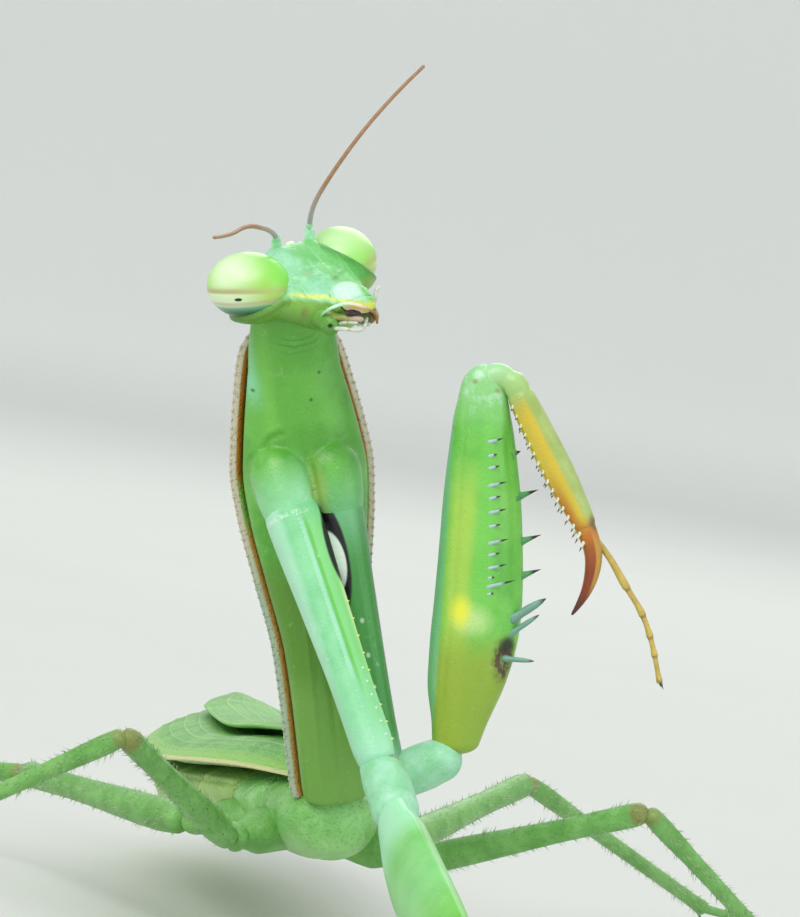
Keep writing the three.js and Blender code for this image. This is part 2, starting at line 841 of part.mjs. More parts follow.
const wingRoot = 1.4; // where the wings leave the mesothorax
const spread = profile(
  [1.4, 1.6],
  [6, 2.9],
  [14.4, 4.3],
  [23.6, 4.9],
  [32.5, 4.1],
  [36.6, 2.4],
  [38.9, 1.0],
);
const crossing = profile([1.4, 0.1], [8, 0.8], [30, 1], [38.9, 0.1]);
// Height of the lowest wing over the body's axis.
const wingDome = profile([1.4, 1.92], [6, 1.8], [10, 1.64], [24, 1.52], [39, 1.35]);
const layer = shell + gap; // from the underside of one wing to the next

// Wings lie flat on the back, cross on the midline and bend down over the flanks.
// settle lets the outer part of the topmost wing down by one layer.
function wingShape({ side, across, rise, reach, settle = 0 }) {
  return (grow) => {
    const wing = plate({
      across: 5,
      along: 9,
      place: (u, v, h) => {
        const y = wingRoot + v * wingLength;
        const inner = -across * crossing(y);
        const x = inner + (spread(y) * reach - inner) * u;
        const droop = 1.4 * abs(x / spread(y)) ** 2.4 + settle * layer * max(u - 0.6, 0) * 2.5;
        return new THREE.Vector3(
          side * (x + (u < 0.001 ? -grow : u > 0.999 ? grow : 0)) + sway(y),
          y + (v < 0.001 ? -grow : v > 0.999 ? grow : 0),
          bodyLevel(y) + wingDome(y) + rise - droop + (h > 0.5 ? shell + grow : -grow),
        );
      },
    });
    if (side < 0) wing.setIndex([...wing.getIndex().array].reverse());
    return wing;
  };
}

for (const [name, form] of Object.entries({
  hindwing_left: { side: 1, across: -0.08, rise: 0, reach: 0.78 },
  hindwing_right: { side: -1, across: -0.08, rise: 0, reach: 0.78 },
  tegmen_right: { side: -1, across: 1.9, rise: layer, reach: 1 },
  tegmen_left: { side: 1, across: 1.9, rise: 2 * layer, reach: 1, settle: 1 },
})) {
  piece(mantis, name, green.wing, wingShape(form));
}

// ---- Walking legs ----

const walking = {
  mid: {
    sizes: midLeg,
    thigh: 0.62,
    shin: 0.36,
    left: {
      hip: [1.2, 3, 6.2],
      coxa: { turn: 60, rise: -12 },
      femur: { turn: 48, rise: 22 },
      tibia: { turn: 118, rise: -33 },
    },
    right: {
      hip: [-1.2, 3, 6.2],
      coxa: { turn: -60, rise: -12 },
      femur: { turn: -37.4, rise: 24.3 },
      tibia: { turn: -120.5, rise: -33 },
    },
  },
  hind: {
    sizes: hindLeg,
    thigh: 0.7,
    shin: 0.38,
    left: {
      hip: [1.3, 7, 5.7],
      coxa: { turn: 120, rise: -10 },
      femur: { turn: 145, rise: 8 },
      tibia: { turn: 130, rise: -21 },
    },
    right: {
      hip: [-1.3, 7, 5.7],
      coxa: { turn: -120, rise: -10 },
      femur: { turn: -161, rise: -2.5 },
      tibia: { turn: -136, rise: -11 },
    },
  },
};

for (const [pair, leg] of Object.entries(walking)) {
  for (const side of ["left", "right"]) {
    const pose = leg[side];
    const outward = new THREE.Vector3(side === "left" ? 1 : -1, 0, 0);
    const root = new THREE.Vector3(...pose.hip);
    const hipEnd = root.clone().addScaledVector(heading(pose.coxa), leg.sizes.hip);
    const knee = hipEnd.clone().addScaledVector(heading(pose.femur), leg.sizes.femur);
    const ankle = knee.clone().addScaledVector(heading(pose.tibia), leg.sizes.tibia);
    const at = (place, along) => joint(mantis, place, heading(along), outward);

    const haunch = profile([0, 1.0], [0.5, 0.92], [0.75, 0.6], [0.85, 0.62], [1, 0.5]);
    const hip = piece(at(root, pose.coxa), `${pair}_coxa_${side}`, green.leg, (grow) =>
      limb({ length: leg.sizes.hip, wide: haunch, deep: haunch, sides: 7, rings: 5 }, grow),
    );
    const girth = profile(
      [0, leg.thigh * 0.8],
      [0.15, leg.thigh],
      [0.7, leg.thigh * 0.75],
      [0.93, leg.thigh * 0.8],
      [1, leg.thigh * 0.6],
    );
    const femur = piece(at(hipEnd, pose.femur), `${pair}_femur_${side}`, green.leg, (grow) =>
      limb({ length: leg.sizes.femur, wide: girth, deep: girth, sides: 7, rings: 5 }, grow),
    );
    const shank = profile(
      [0, leg.shin],
      [0.08, leg.shin * 1.15],
      [0.3, leg.shin * 0.95],
      [0.9, leg.shin * 0.85],
      [1, leg.shin],
    );
    const tibia = piece(at(knee, pose.tibia), `${pair}_tibia_${side}`, green.leg, (grow) =>
      limb({ length: leg.sizes.tibia, wide: shank, deep: shank, sides: 6, rings: 4 }, grow),
    );
    const flat = heading({ turn: pose.tibia.turn, rise: 0 });
    const step = (share, height) =>
      ankle.clone().addScaledVector(flat, leg.sizes.tarsus * share).setZ(height);
    const path = curveOf(
      ankle.clone().addScaledVector(heading(pose.tibia), -0.1),
      step(0.28, ankle.z * 0.5 + 0.15),
      step(0.6, 0.24),
      step(0.92, 0.24),
    );
    const foot = piece(mantis, `${pair}_tarsus_${side}`, green.leg, footShape(path));
    fitAround(hip, mesothorax, metathorax);
    fitAround(femur, hip);
    fitAround(tibia, femur);
    fitAround(foot, tibia);
  }
}

// ---- Last fits round the head and neck ----

fitAround(head, ...eyes);
fitAround(neck, head, pronotum, chest, ...eyes, maxillae);
fitAround(maxillae, head);
fitAround(clypeus, head);
for (const jaw of jaws) fitAround(jaw, head, clypeus, maxillae);
palps.forEach((palp, i) => {
  fitAround(palp, head, ...eyes, ...jaws, clypeus, maxillae, ...palps.slice(0, i));
});
for (const { scape, flagellum } of feelers) {
  fitAround(scape, head, ...eyes);
  fitAround(flagellum, scape);
}

// Feet are pressed flat where they touch the floor.
mantis.traverse((mesh) => {
  if (!mesh.isMesh || !mesh.name.includes("tarsus")) return;
  mesh.geometry = geometryOf(solidOf(mesh.geometry).subtract(floorCutter));
});

// The origin is on the floor under the middle of the whole animal.
const whole = new THREE.Box3().setFromObject(mantis);
const middle = whole.getCenter(new THREE.Vector3());
mantis.position.set(-middle.x, -middle.y, 0);

export default mantis;
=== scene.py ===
from math import cos, pi, radians, sin

import bpy
import numpy as np
from mathutils import Matrix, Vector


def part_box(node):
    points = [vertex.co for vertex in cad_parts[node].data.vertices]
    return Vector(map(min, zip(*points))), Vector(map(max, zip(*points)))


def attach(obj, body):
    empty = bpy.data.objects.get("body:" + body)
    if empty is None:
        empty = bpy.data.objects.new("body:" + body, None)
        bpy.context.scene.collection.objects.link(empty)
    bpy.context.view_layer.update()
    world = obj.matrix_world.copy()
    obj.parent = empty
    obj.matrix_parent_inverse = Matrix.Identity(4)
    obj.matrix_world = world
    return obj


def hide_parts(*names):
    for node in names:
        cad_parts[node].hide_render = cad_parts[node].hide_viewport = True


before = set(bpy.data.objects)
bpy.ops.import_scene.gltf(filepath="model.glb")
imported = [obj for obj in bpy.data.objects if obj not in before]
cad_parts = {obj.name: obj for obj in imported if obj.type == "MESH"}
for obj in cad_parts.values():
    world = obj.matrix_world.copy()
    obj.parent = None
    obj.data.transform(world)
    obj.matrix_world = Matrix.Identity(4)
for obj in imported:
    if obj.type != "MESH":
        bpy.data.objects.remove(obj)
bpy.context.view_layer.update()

mm = 0.001
seed = np.random.default_rng(11)

# The body's own frame, in millimetres: its origin is on the floor below the prothorax hinge.
low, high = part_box("mesothorax")
wingStart = 1.4
home = np.array([(low[0] + high[0]) / 2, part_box("tegmen_left")[0][1] - wingStart * mm, 0]) / mm


# ---- numbers and places ----

def vec(*parts):
    return np.array(parts, float)


def unit(v):
    return v / np.linalg.norm(v, axis=-1, keepdims=True)


def heading(turn, rise):
    t, r = radians(turn), radians(rise)
    return vec(sin(t) * cos(r), -cos(t) * cos(r), sin(r))


def profile(*stations):
    # a smooth curve through [place, value] stations, with no overshoot
    places, values = np.array(stations, float).T
    secants = np.diff(values) / np.diff(places)
    slopes = np.concatenate([secants[:1], np.zeros(len(places) - 2), secants[-1:]])
    for i in range(1, len(places) - 1):
        before, after = secants[i - 1 : i + 1]
        slopes[i] = 0 if before * after <= 0 else 2 * before * after / (before + after)

    def at(place):
        x = np.clip(place, places[0], places[-1])
        i = np.clip(np.searchsorted(places, x) - 1, 0, len(places) - 2)
        span = places[i + 1] - places[i]
        u = (x - places[i]) / span
        bump = u * u * (3 - 2 * u)
        hermite = span * u * (1 - u) * ((1 - u) * slopes[i] - u * slopes[i + 1])
        return values[i] * (1 - bump) + values[i + 1] * bump + hermite

    return at


def level(value):
    return lambda place: np.full_like(np.asarray(place, float), value)


def wrapped(angle):
    # the same angle, between -pi and pi
    return np.angle(np.exp(1j * angle))


def boxy(wave, square):
    # a sine or cosine pushed out towards the sides of a square; 2 leaves it round
    return np.sign(wave) * np.abs(wave) ** (2 / square)


def bell(x, width):
    return np.exp(-((x / width) ** 2))


def ease(x, start, end):
    u = np.clip((x - start) / (end - start), 0, 1)
    return u * u * (3 - 2 * u)


class Joint:
    # local Z runs along a piece and local -Y is its front
    def __init__(self, place, along, front):
        z = unit(np.asarray(along, float))
        y = -np.asarray(front, float)
        y = unit(y - z * y.dot(z))
        self.place = np.asarray(place, float)
        self.axes = np.stack([np.cross(y, z), y, z])

    def out(self, points):
        return self.place + np.asarray(points) @ self.axes

    def into(self, points):
        return (np.asarray(points) - self.place) @ self.axes.T


class Path:
    # a centripetal curve through places, read by its share of the length
    def __init__(self, *places):
        p = np.array(places, float)
        p = np.vstack([2 * p[0] - p[1], p, 2 * p[-1] - p[-2]])
        points = []
        for a, b, c, d in zip(p, p[1:], p[2:], p[3:]):
            first, second, third = (np.linalg.norm(v) ** 0.5 for v in (b - a, c - b, d - c))
            into = ((b - a) / first - (c - a) / (first + second) + (c - b) / second) * second
            away = ((c - b) / second - (d - b) / (second + third) + (d - c) / third) * second
            t = np.linspace(0, 1, 90)[:, None]
            points.append(
                b * (1 + t * t * (2 * t - 3)) + c * t * t * (3 - 2 * t)
                + into * t * (1 - t) ** 2 - away * t * t * (1 - t)
            )
        self.points = np.vstack([points[0]] + [part[1:] for part in points[1:]])
        steps = np.linalg.norm(np.diff(self.points, axis=0), axis=1)
        self.places = np.concatenate([[0], np.cumsum(steps)])
        self.length = self.places[-1]

    def at(self, share):
        place = np.asarray(share) * self.length
        spot = lambda s: np.stack([np.interp(s, self.places, axis) for axis in self.points.T], -1)
        step = self.length * 0.01
        ahead = np.minimum(place + step, self.length)
        behind = np.maximum(place - step, 0)
        return spot(place), unit(spot(ahead) - spot(behind))


# ---- forms: dictionaries of points, faces and what the finishes read ----

def closedTube(points, place):
    # points and place are rings x sides x 3, and the first and last rings become single tips
    count, sides = points.shape[:2]
    poles = [grid[[0, -1]].mean(1) for grid in (points, place)]
    body = np.arange((count - 2) * sides).reshape(count - 2, sides) + 2
    right = np.roll(body, -1, 1)
    quads = np.stack([body[:-1], right[:-1], right[1:], body[1:]], -1).reshape(-1, 4)
    caps = [np.stack([np.full(sides, 0), right[0], body[0]], -1)]
    caps.append(np.stack([np.full(sides, 1), body[-1], right[-1]], -1))
    return {
        "points": np.vstack([poles[0], points[1:-1].reshape(-1, 3)]),
        "place": np.vstack([poles[1], place[1:-1].reshape(-1, 3)]),
        "faces": quads.tolist() + np.vstack(caps).tolist(),
    }


def ringPlaces(length, ends, along):
    # distances along a tube, closer together where its ends round off
    first, last = ends
    turn = 1 - np.cos(np.linspace(0, pi / 2, 8))
    middle = np.linspace(first, length - last, along + 1)[1:-1]
    s = np.concatenate([first * turn, middle, length - last * turn[::-1]])
    near = 1 - np.minimum(s / first, 1)
    far = 1 - np.minimum((length - s) / last, 1)
    return s, np.sqrt(np.clip(1 - near**2, 0, 1)) * np.sqrt(np.clip(1 - far**2, 0, 1))


def limb(
    length, wide, deep, bowX=level(0), bowY=level(0), square=2.0, sides=40, along=50,
    ends=(0.3, 0.3), relief=None, low=0.0,
):
    # a straight limb piece along +Z; wide and deep are half sizes along local X and Y
    s, soft = ringPlaces(length, ends, along)
    t, soft = (s / length)[:, None], soft[:, None]
    angle = (np.arange(sides) * 2 * pi / sides)[None, :]
    swell = relief(s[:, None], angle) if relief else 0
    x = bowX(t) + soft * (wide(t) * boxy(np.cos(angle), square) + swell * np.cos(angle))
    y = bowY(t) + soft * (deep(t) * boxy(np.sin(angle), square) + swell * np.sin(angle))
    points = np.stack(np.broadcast_arrays(x, y, s[:, None] + low), -1)
    return closedTube(points, points.copy())


def sweep(path, wide, deep, crown=None, up=(0, 0, 1), sides=32, along=40, ends=(0.2, 0.2), relief=None):
    # a piece swept along a path; deep is its half size below the path and crown the one above
    s, soft = ringPlaces(path.length, ends, along)
    t = s / path.length
    spot, tangent = path.at(t)
    up = np.asarray(up, float)
    dorsal = unit(up - tangent * (tangent @ up)[:, None])
    side = np.cross(dorsal, tangent)
    angle = np.arange(sides) * 2 * pi / sides
    c, d = np.cos(angle)[None, :], np.sin(angle)[None, :]
    swell = relief(s[:, None], angle[None, :]) if relief else np.zeros((len(s), sides))
    below, above = deep(t)[:, None], (crown or deep)(t)[:, None]
    x = soft[:, None] * (wide(t)[:, None] + swell) * c
    y = soft[:, None] * (np.where(d > 0, above, below) + swell) * d
    points = spot[:, None] + side[:, None] * x[..., None] + dorsal[:, None] * y[..., None]
    place = np.stack([x, y, np.broadcast_to(s[:, None], x.shape)], -1)
    return closedTube(points, place)


def egg(centre, radii, sides=48, rings=32):
    lat = np.linspace(-pi / 2, pi / 2, rings)[:, None]
    lon = (np.arange(sides) * 2 * pi / sides)[None, :]
    ball = np.stack(
        np.broadcast_arrays(np.cos(lat) * np.cos(lon), np.cos(lat) * np.sin(lon), np.sin(lat)), -1
    )
    points = ball * radii + centre
    return closedTube(points, points.copy())


spineLevels = (-0.25, 0, 0.1, 0.25, 0.45, 0.65, 0.83, 0.95, 1)


def spikes(roots, leans, tall, thick, sides=8, foot=1.4, levels=spineLevels, blunt=1.3):
    # straight tapering spines: roots and leans are n x 3, tall and thick one number or n of them,
    # levels the shares of the height where a spine has a ring, and foot how far its base flares
    roots, leans = np.atleast_2d(roots), unit(np.atleast_2d(np.asarray(leans, float)))
    n = len(roots)
    tall = np.broadcast_to(tall, n).astype(float)[:, None, None, None]
    thick = np.broadcast_to(thick, n).astype(float)[:, None, None, None]
    other = np.where(np.abs(leans[:, 2:]) < 0.9, [[0, 0, 1.0]], [[1.0, 0, 0]])
    first = unit(np.cross(leans, other))
    second = np.cross(leans, first)
    t = np.array(levels)[None, :, None, None]
    phi = (np.arange(sides) * 2 * pi / sides)[None, None, :, None]
    around = first[:, None, None] * np.cos(phi) + second[:, None, None] * np.sin(phi)
    slim = np.clip(1 - np.clip(t, 0, 1) ** blunt, 0.0, 1) * (1 + (foot - 1) * np.exp(-((t / 0.1) ** 2)))
    points = roots[:, None, None] + leans[:, None, None] * tall * t + around * thick * slim
    k = len(levels)
    tips = points[:, -1].mean(1)
    walls = points[:, :-1].reshape(n, -1, 3)
    block = (k - 1) * sides + 1
    local = np.arange((k - 1) * sides).reshape(k - 1, sides)
    right = np.roll(local, -1, 1)
    quads = np.stack([local[:-1], right[:-1], right[1:], local[1:]], -1).reshape(-1, 4)
    caps = np.stack([local[-1], right[-1], np.full(sides, block - 1)], -1)
    lids = local[0][::-1]
    start = (np.arange(n) * block)[:, None, None]
    faces = (quads[None] + start).reshape(-1, 4).tolist() + (caps[None] + start).reshape(-1, 3).tolist()
    faces += (lids[None] + start[:, 0]).tolist()
    share = np.concatenate([np.repeat(np.clip(levels[:-1], 0, 1), sides), [1]])
    return {
        "points": np.concatenate([walls, tips[:, None]], 1).reshape(-1, 3),
        "place": np.repeat(roots, block, 0),
        "faces": faces,
        "tip": np.tile(share, n),
    }


def moved(form, joint):
    return {**form, "points": joint.out(form["points"])}


def joined(forms):
    start, faces = 0, []
    for form in forms:
        faces += [[i + start for i in face] for face in form["faces"]]
        start += len(form["points"])
    blank = lambda form: np.zeros(len(form["points"]))
    return {
        "points": np.vstack([form["points"] for form in forms]),
        "place": np.vstack([form["place"] for form in forms]),
        "tip": np.concatenate([form.get("tip", blank(form)) for form in forms]),
        "mark": np.concatenate([form.get("mark", blank(form)) for form in forms]),
        "faces": faces,
    }


def oneSkin(forms, voxel, smooth):
    # one closed skin round several forms that overlap, with its normals
    form = joined(forms)
    mesh = bpy.data.meshes.new("blank")
    mesh.from_pydata(form["points"].tolist(), [], form["faces"])
    blank = bpy.data.objects.new("blank", mesh)
    bpy.context.scene.collection.objects.link(blank)
    remesh = blank.modifiers.new("remesh", "REMESH")
    remesh.mode, remesh.voxel_size = "VOXEL", voxel
    soften = blank.modifiers.new("soften", "SMOOTH")
    soften.factor, soften.iterations = 0.5, smooth
    made = blank.evaluated_get(bpy.context.evaluated_depsgraph_get()).to_mesh()
    points = np.empty(len(made.vertices) * 3)
    made.vertices.foreach_get("co", points)
    normals = np.empty(len(made.vertices) * 3)
    made.vertex_normals.foreach_get("vector", normals)
    faces = [list(face.vertices) for face in made.polygons]
    bpy.data.objects.remove(blank)
    points = points.reshape(-1, 3)
    return {"points": points, "place": points.copy(), "faces": faces}, normals.reshape(-1, 3)


def piece(name, forms, finish, nodes=()):
    form = joined(forms if isinstance(forms, list) else [forms])
    mesh = bpy.data.meshes.new(name)
    mesh.from_pydata(((form["points"] + home) * mm).tolist(), [], form["faces"])
    mesh.attributes.new("place", "FLOAT_VECTOR", "POINT").data.foreach_set("vector", form["place"].ravel())
    for key in ("tip", "mark"):
        if form[key].any():
            mesh.attributes.new(key, "FLOAT", "POINT").data.foreach_set("value", form[key])
    mesh.materials.append(finish.material)
    mesh.shade_smooth()
    made = bpy.data.objects.new(name, mesh)
    bpy.context.scene.collection.objects.link(made)
    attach(made, "root")
    if nodes:
        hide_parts(*nodes)
    return made


# ---- finishes ----

class Wire:
    # a socket that takes part in sums
    def __init__(self, finish, socket):
        self.finish, self.socket = finish, socket

    def __add__(self, other):
        return self.finish.sum("ADD", self, other)

    def __sub__(self, other):
        return self.finish.sum("SUBTRACT", self, other)

    def __rsub__(self, other):
        return self.finish.sum("SUBTRACT", other, self)

    def __mul__(self, other):
        return self.finish.sum("MULTIPLY", self, other)

    def __truediv__(self, other):
        return self.finish.sum("DIVIDE", self, other)

    def __pow__(self, other):
        return self.finish.sum("POWER", self, other)

    def __neg__(self):
        return self.finish.sum("MULTIPLY", self, -1)

    __radd__ = __add__
    __rmul__ = __mul__

    def step(self, low, high):
        return self.finish.step(self, low, high)

    def band(self, low, high, soft):
        return self.finish.band(self, low, high, soft)

    def washed(self, mask, tone):
        # this colour with a tone laid over it where the mask is 1
        return self.finish.mix(mask, self, tone)


def tint(code):
    parts = [int(code[i : i + 2], 16) / 255 for i in (0, 2, 4)]
    return [p / 12.92 if p < 0.04045 else ((p + 0.055) / 1.055) ** 2.4 for p in parts] + [1]


class Finish:
    def __init__(self, name, **fixed):
        self.material = bpy.data.materials.new(name)
        self.material.use_nodes = True
        self.tree = self.material.node_tree
        self.shader = self.tree.nodes["Principled BSDF"]
        for word, value in fixed.items():
            self.shader.inputs[word.replace("_", " ")].default_value = value

    def node(self, kind, settings=None, inputs=None, out=0):
        made = self.tree.nodes.new(kind)
        for word, value in (settings or {}).items():
            setattr(made, word, value)
        for word, value in (inputs or {}).items():
            if isinstance(value, Wire):
                self.tree.links.new(value.socket, made.inputs[word])
            else:
                made.inputs[word].default_value = tint(value) if isinstance(value, str) else value
        return Wire(self, made.outputs[out])

    def sum(self, kind, *values):
        return self.node("ShaderNodeMath", {"operation": kind}, dict(enumerate(values)))

    def read(self, name):
        out = "Vector" if name == "place" else "Fac"
        return self.node("ShaderNodeAttribute", {"attribute_name": name}, out=out)

    def axes(self):
        place = self.read("place")
        apart = self.node("ShaderNodeSeparateXYZ", inputs={0: place}).socket.node
        return [Wire(self, socket) for socket in apart.outputs]

    def step(self, value, low, high):
        settings = {"interpolation_type": "SMOOTHSTEP"}
        inputs = {"Value": value, "From Min": low, "From Max": high}
        return self.node("ShaderNodeMapRange", settings, inputs)

    def band(self, value, low, high, soft):
        return self.step(value, low - soft, low + soft) * self.step(value, high + soft, high - soft)

    def vector(self, kind, *values, out=0):
        return self.node("ShaderNodeVectorMath", {"operation": kind}, dict(enumerate(values)), out)

    def spot(self, centre, size, edge=0.12):
        # 1 inside an ellipsoid round a place, 0 outside
        away = self.vector("DIVIDE", self.vector("SUBTRACT", self.read("place"), centre), size)
        return self.step(self.vector("LENGTH", away, out="Value"), 1 + edge, 1 - edge)

    def along(self, direction):
        unitVector = tuple(float(part) for part in unit(vec(*direction)))
        return self.vector("DOT_PRODUCT", self.read("place"), unitVector, out="Value")

    def noise(self, scale, detail=2, rough=0.5, where=None):
        inputs = {"Vector": where or self.read("place"), "Scale": scale, "Detail": detail, "Roughness": rough}
        return self.node("ShaderNodeTexNoise", inputs=inputs)

    def cells(self, scale, feature="F1", where=None):
        inputs = {"Vector": where or self.read("place"), "Scale": scale}
        return self.node("ShaderNodeTexVoronoi", {"feature": feature}, inputs)

    def mix(self, mask, under, over):
        return self.node("ShaderNodeMix", {"data_type": "RGBA"}, {0: mask, 6: under, 7: over}, 2)

    def paint(self, colour=None, rough=None, bump=None, depth=0.012, coat=None):
        if isinstance(colour, str):
            self.shader.inputs["Base Color"].default_value = tint(colour)
        elif colour:
            self.tree.links.new(colour.socket, self.shader.inputs["Base Color"])
        if rough:
            self.tree.links.new(rough.socket, self.shader.inputs["Roughness"])
        if coat:
            self.tree.links.new(coat.socket, self.shader.inputs["Coat Weight"])
        if bump:
            inputs = {"Height": bump, "Strength": 1.0, "Distance": depth * mm}
            lifted = self.node("ShaderNodeBump", inputs=inputs)
            self.tree.links.new(lifted.socket, self.shader.inputs["Normal"])
        return self


def cuticle(name, deep, pale, grain=1.1, **fixed):
    # the green of a plate: cloudy colour, fine pits; returns the finish, its colour and its pits
    fixed = {"Roughness": 0.42, "Coat_Weight": 0.15, "Coat_Roughness": 0.3, **fixed}
    finish = Finish(name, **fixed)
    cloud = finish.step(finish.noise(grain, 4, 0.6), 0.32, 0.68)
    colour = finish.mix(cloud, deep, pale)
    pits = finish.step(finish.cells(7.0), 0.1, 0.45) + 0.6 * finish.noise(4.0, 3)
    return finish, colour, pits


print("frame and helpers ready")


# ---- camera, light and floor ----

view = {"target": (-0.371, -3.762, 22.30), "turn": 12, "rise": 3, "roll": 9, "distance": 200, "lens": 196.3}


def setCamera():
    a, e, w = (radians(view[word]) for word in ("turn", "rise", "roll"))
    forward = vec(sin(a) * cos(e), cos(a) * cos(e), -sin(e))
    sideways = vec(cos(a), -sin(a), 0)
    upright = np.cross(sideways, forward)
    right = sideways * cos(w) + upright * sin(w)
    above = np.cross(right, forward)
    place = (np.array(view["target"]) + home - forward * view["distance"]) * mm
    lens = bpy.data.cameras.new("camera")
    lens.lens, lens.sensor_width = view["lens"], 36
    lens.clip_start, lens.clip_end = 0.005, 10
    camera = bpy.data.objects.new("camera", lens)
    bpy.context.scene.collection.objects.link(camera)
    matrix = np.eye(4)
    matrix[:3, 0], matrix[:3, 1], matrix[:3, 2], matrix[:3, 3] = right, above, -forward, place
    camera.matrix_world = Matrix(matrix.tolist())
    bpy.context.scene.camera = camera


lights = {
    "key": {"from": (-170, -190, 260), "size": 260, "power": 0.68, "colour": (1.0, 0.99, 0.96)},
    "fill": {"from": (240, -210, 110), "size": 260, "power": 0.2, "colour": (0.95, 0.98, 1.0)},
    "rim": {"from": (90, 260, 200), "size": 200, "power": 0.22, "colour": (1.0, 1.0, 0.98)},
}


def setLights():
    aim = vec(0, 0, 14)
    for name, lamp in lights.items():
        data = bpy.data.lights.new(name, "AREA")
        data.shape, data.size = "SQUARE", lamp["size"] * mm
        data.energy, data.color = lamp["power"], lamp["colour"]
        made = bpy.data.objects.new(name, data)
        bpy.context.scene.collection.objects.link(made)
        away = unit(vec(*lamp["from"]) - aim)
        side = unit(np.cross((0, 0, 1), away))
        matrix = np.eye(4)
        matrix[:3, 0], matrix[:3, 1], matrix[:3, 2] = side, np.cross(away, side), away
        matrix[:3, 3] = vec(*lamp["from"]) * mm
        made.matrix_world = Matrix(matrix.tolist())
    world = bpy.data.worlds.new("studio")
    bpy.context.scene.world = world
    world.use_nodes = True
    sky = world.node_tree.nodes["Background"]
    sky.inputs["Color"].default_value = tint("eff2f3")
    sky.inputs["Strength"].default_value = 0.9


def setFloor():
    # a round pale floor that curves up far behind into a backdrop all round
    reach = profile([0, 0], [1, 420], [2, 900], [3, 1500], [4, 1700], [5, 1750])
    rise = profile([0, 0], [1, 0], [2, 0], [3, 90], [4, 500], [5, 1100])
    t = np.linspace(0.02, 5, 60)[:, None]
    a = (np.arange(96) * 2 * pi / 96)[None, :]
    points = np.stack([reach(t) * np.cos(a), reach(t) * np.sin(a), rise(t) * np.ones_like(a)], -1)
    index = np.arange(points.shape[0] * 96).reshape(-1, 96)
    right = np.roll(index, -1, 1)
    faces = np.stack([index[1:], right[1:], right[:-1], index[:-1]], -1).reshape(-1, 4).tolist()
    faces.append(index[0].tolist())
    mesh = bpy.data.meshes.new("floor")
    mesh.from_pydata((points.reshape(-1, 3) * mm).tolist(), [], faces)
    mesh.shade_smooth()
    # the floor is painted lighter far off and up the backdrop: painted light standing in for a lamp on the
    # backdrop
    distance = np.repeat(ease(reach(t[:, 0]), 160, 700), 96)
    mesh.attributes.new("tip", "FLOAT", "POINT").data.foreach_set("value", distance)
    finish = Finish("pale_floor", Roughness=0.85)
    where = finish.node("ShaderNodeTexCoord", out="Object")
    cloud = finish.noise(30, 3, where=where)
    colour = finish.mix(cloud, "cfd1cd", "d5d7d3")
    finish.paint(finish.mix(finish.read("tip"), colour, "f3f5f2"), bump=cloud, depth=0.05)
    mesh.materials.append(finish.material)
    floor = bpy.data.objects.new("floor", mesh)
    bpy.context.scene.collection.objects.link(floor)


setCamera()
setLights()
setFloor()
bpy.context.scene.view_settings.view_transform = "Standard"
print("camera, lights and floor set")


# ---- head ----

headPlace = vec(-5.89, -4.895, 28.81)
headFacing = heading(0.9, 52.8)
headJoint = Joint(headPlace, heading(-140.1, 30.6), headFacing)

skull = {
    "low": -3.2, "top": 1.4, "voxel": 0.05, "smooth": 5,
    "wide": profile([-3.2, 1.05], [-2.6, 1.4], [-2, 1.75], [-0.9, 2.6], [0.2, 3.05], [1, 2.35], [1.4, 1.2]),
    "front": profile([-3.2, 1.1], [-2.7, 1.48], [-2.4, 1.5], [-1.9, 1.42], [0, 1.38], [1, 1.08], [1.4, 0.5]),
    "behind": profile([-3.2, 0.2], [-2.6, 0.5], [-1.5, 0.85], [0, 1.1], [0.9, 0.85], [1.4, 0.2]),
}
eyeShape = {
    "radii": (1.4, 1.28, 1.69), "tilt": 0.57, "lean": 0.42, "out": 2.35, "forward": 0.22, "up": 0.13,
    # a plane that cuts the eye's ball of radius 1: in front of it the eye shows, behind it skin covers it
    "rim": {"right": (0.045, -0.894, 0.446, 0.498), "left": (0.364, -0.866, 0.342, -0.019)},
}


def turned(points, x=0.0, y=0.0):
    # turns about X, then about Y
    cx, sx, cy, sy = cos(x), sin(x), cos(y), sin(y)
    points = points @ np.array([[1, 0, 0], [0, cx, -sx], [0, sx, cx]]).T
    return points @ np.array([[cy, 0, sy], [0, 1, 0], [-sy, 0, cy]]).T


def eyePlaces(side):
    # the middle of an eye in the head's frame
    return vec(side * eyeShape["out"], -eyeShape["forward"], eyeShape["up"])


def eyeLocal(points, side):
    # places in the head's frame to the eye's own, where it is a ball of radius 1
    back = turned(points - eyePlaces(side), 0, -side * eyeShape["tilt"])
    return turned(back, eyeShape["lean"], 0) / np.array(eyeShape["radii"])


def eyeOut(local, side):
    # and back again
    grown = local * np.array(eyeShape["radii"])
    return turned(grown, -eyeShape["lean"], side * eyeShape["tilt"]) + eyePlaces(side)


def eyeShows(local, side):
    # more than 0 where the eye is bare
    word = "left" if side > 0 else "right"
    a, b, c, d = eyeShape["rim"][word]
    flat = unit(local) * (side, 1, 1)
    inner = np.maximum(-flat[:, 0] - 0.45, 0) if side < 0 else 0
    return flat @ vec(a, b, c) + d - 0.9 * inner


def lineDistance(points, *stations):
    # distance in the XZ plane to a broken line
    flat = points[:, [0, 2]]
    best = np.full(len(flat), 9.0)
    for a, b in zip(stations, stations[1:]):
        a, b = np.array(a, float), np.array(b, float)
        t = np.clip(((flat - a) @ (b - a)) / ((b - a) @ (b - a)), 0, 1)[:, None]
        best = np.minimum(best, np.linalg.norm(flat - a - t * (b - a), axis=1))
    return best


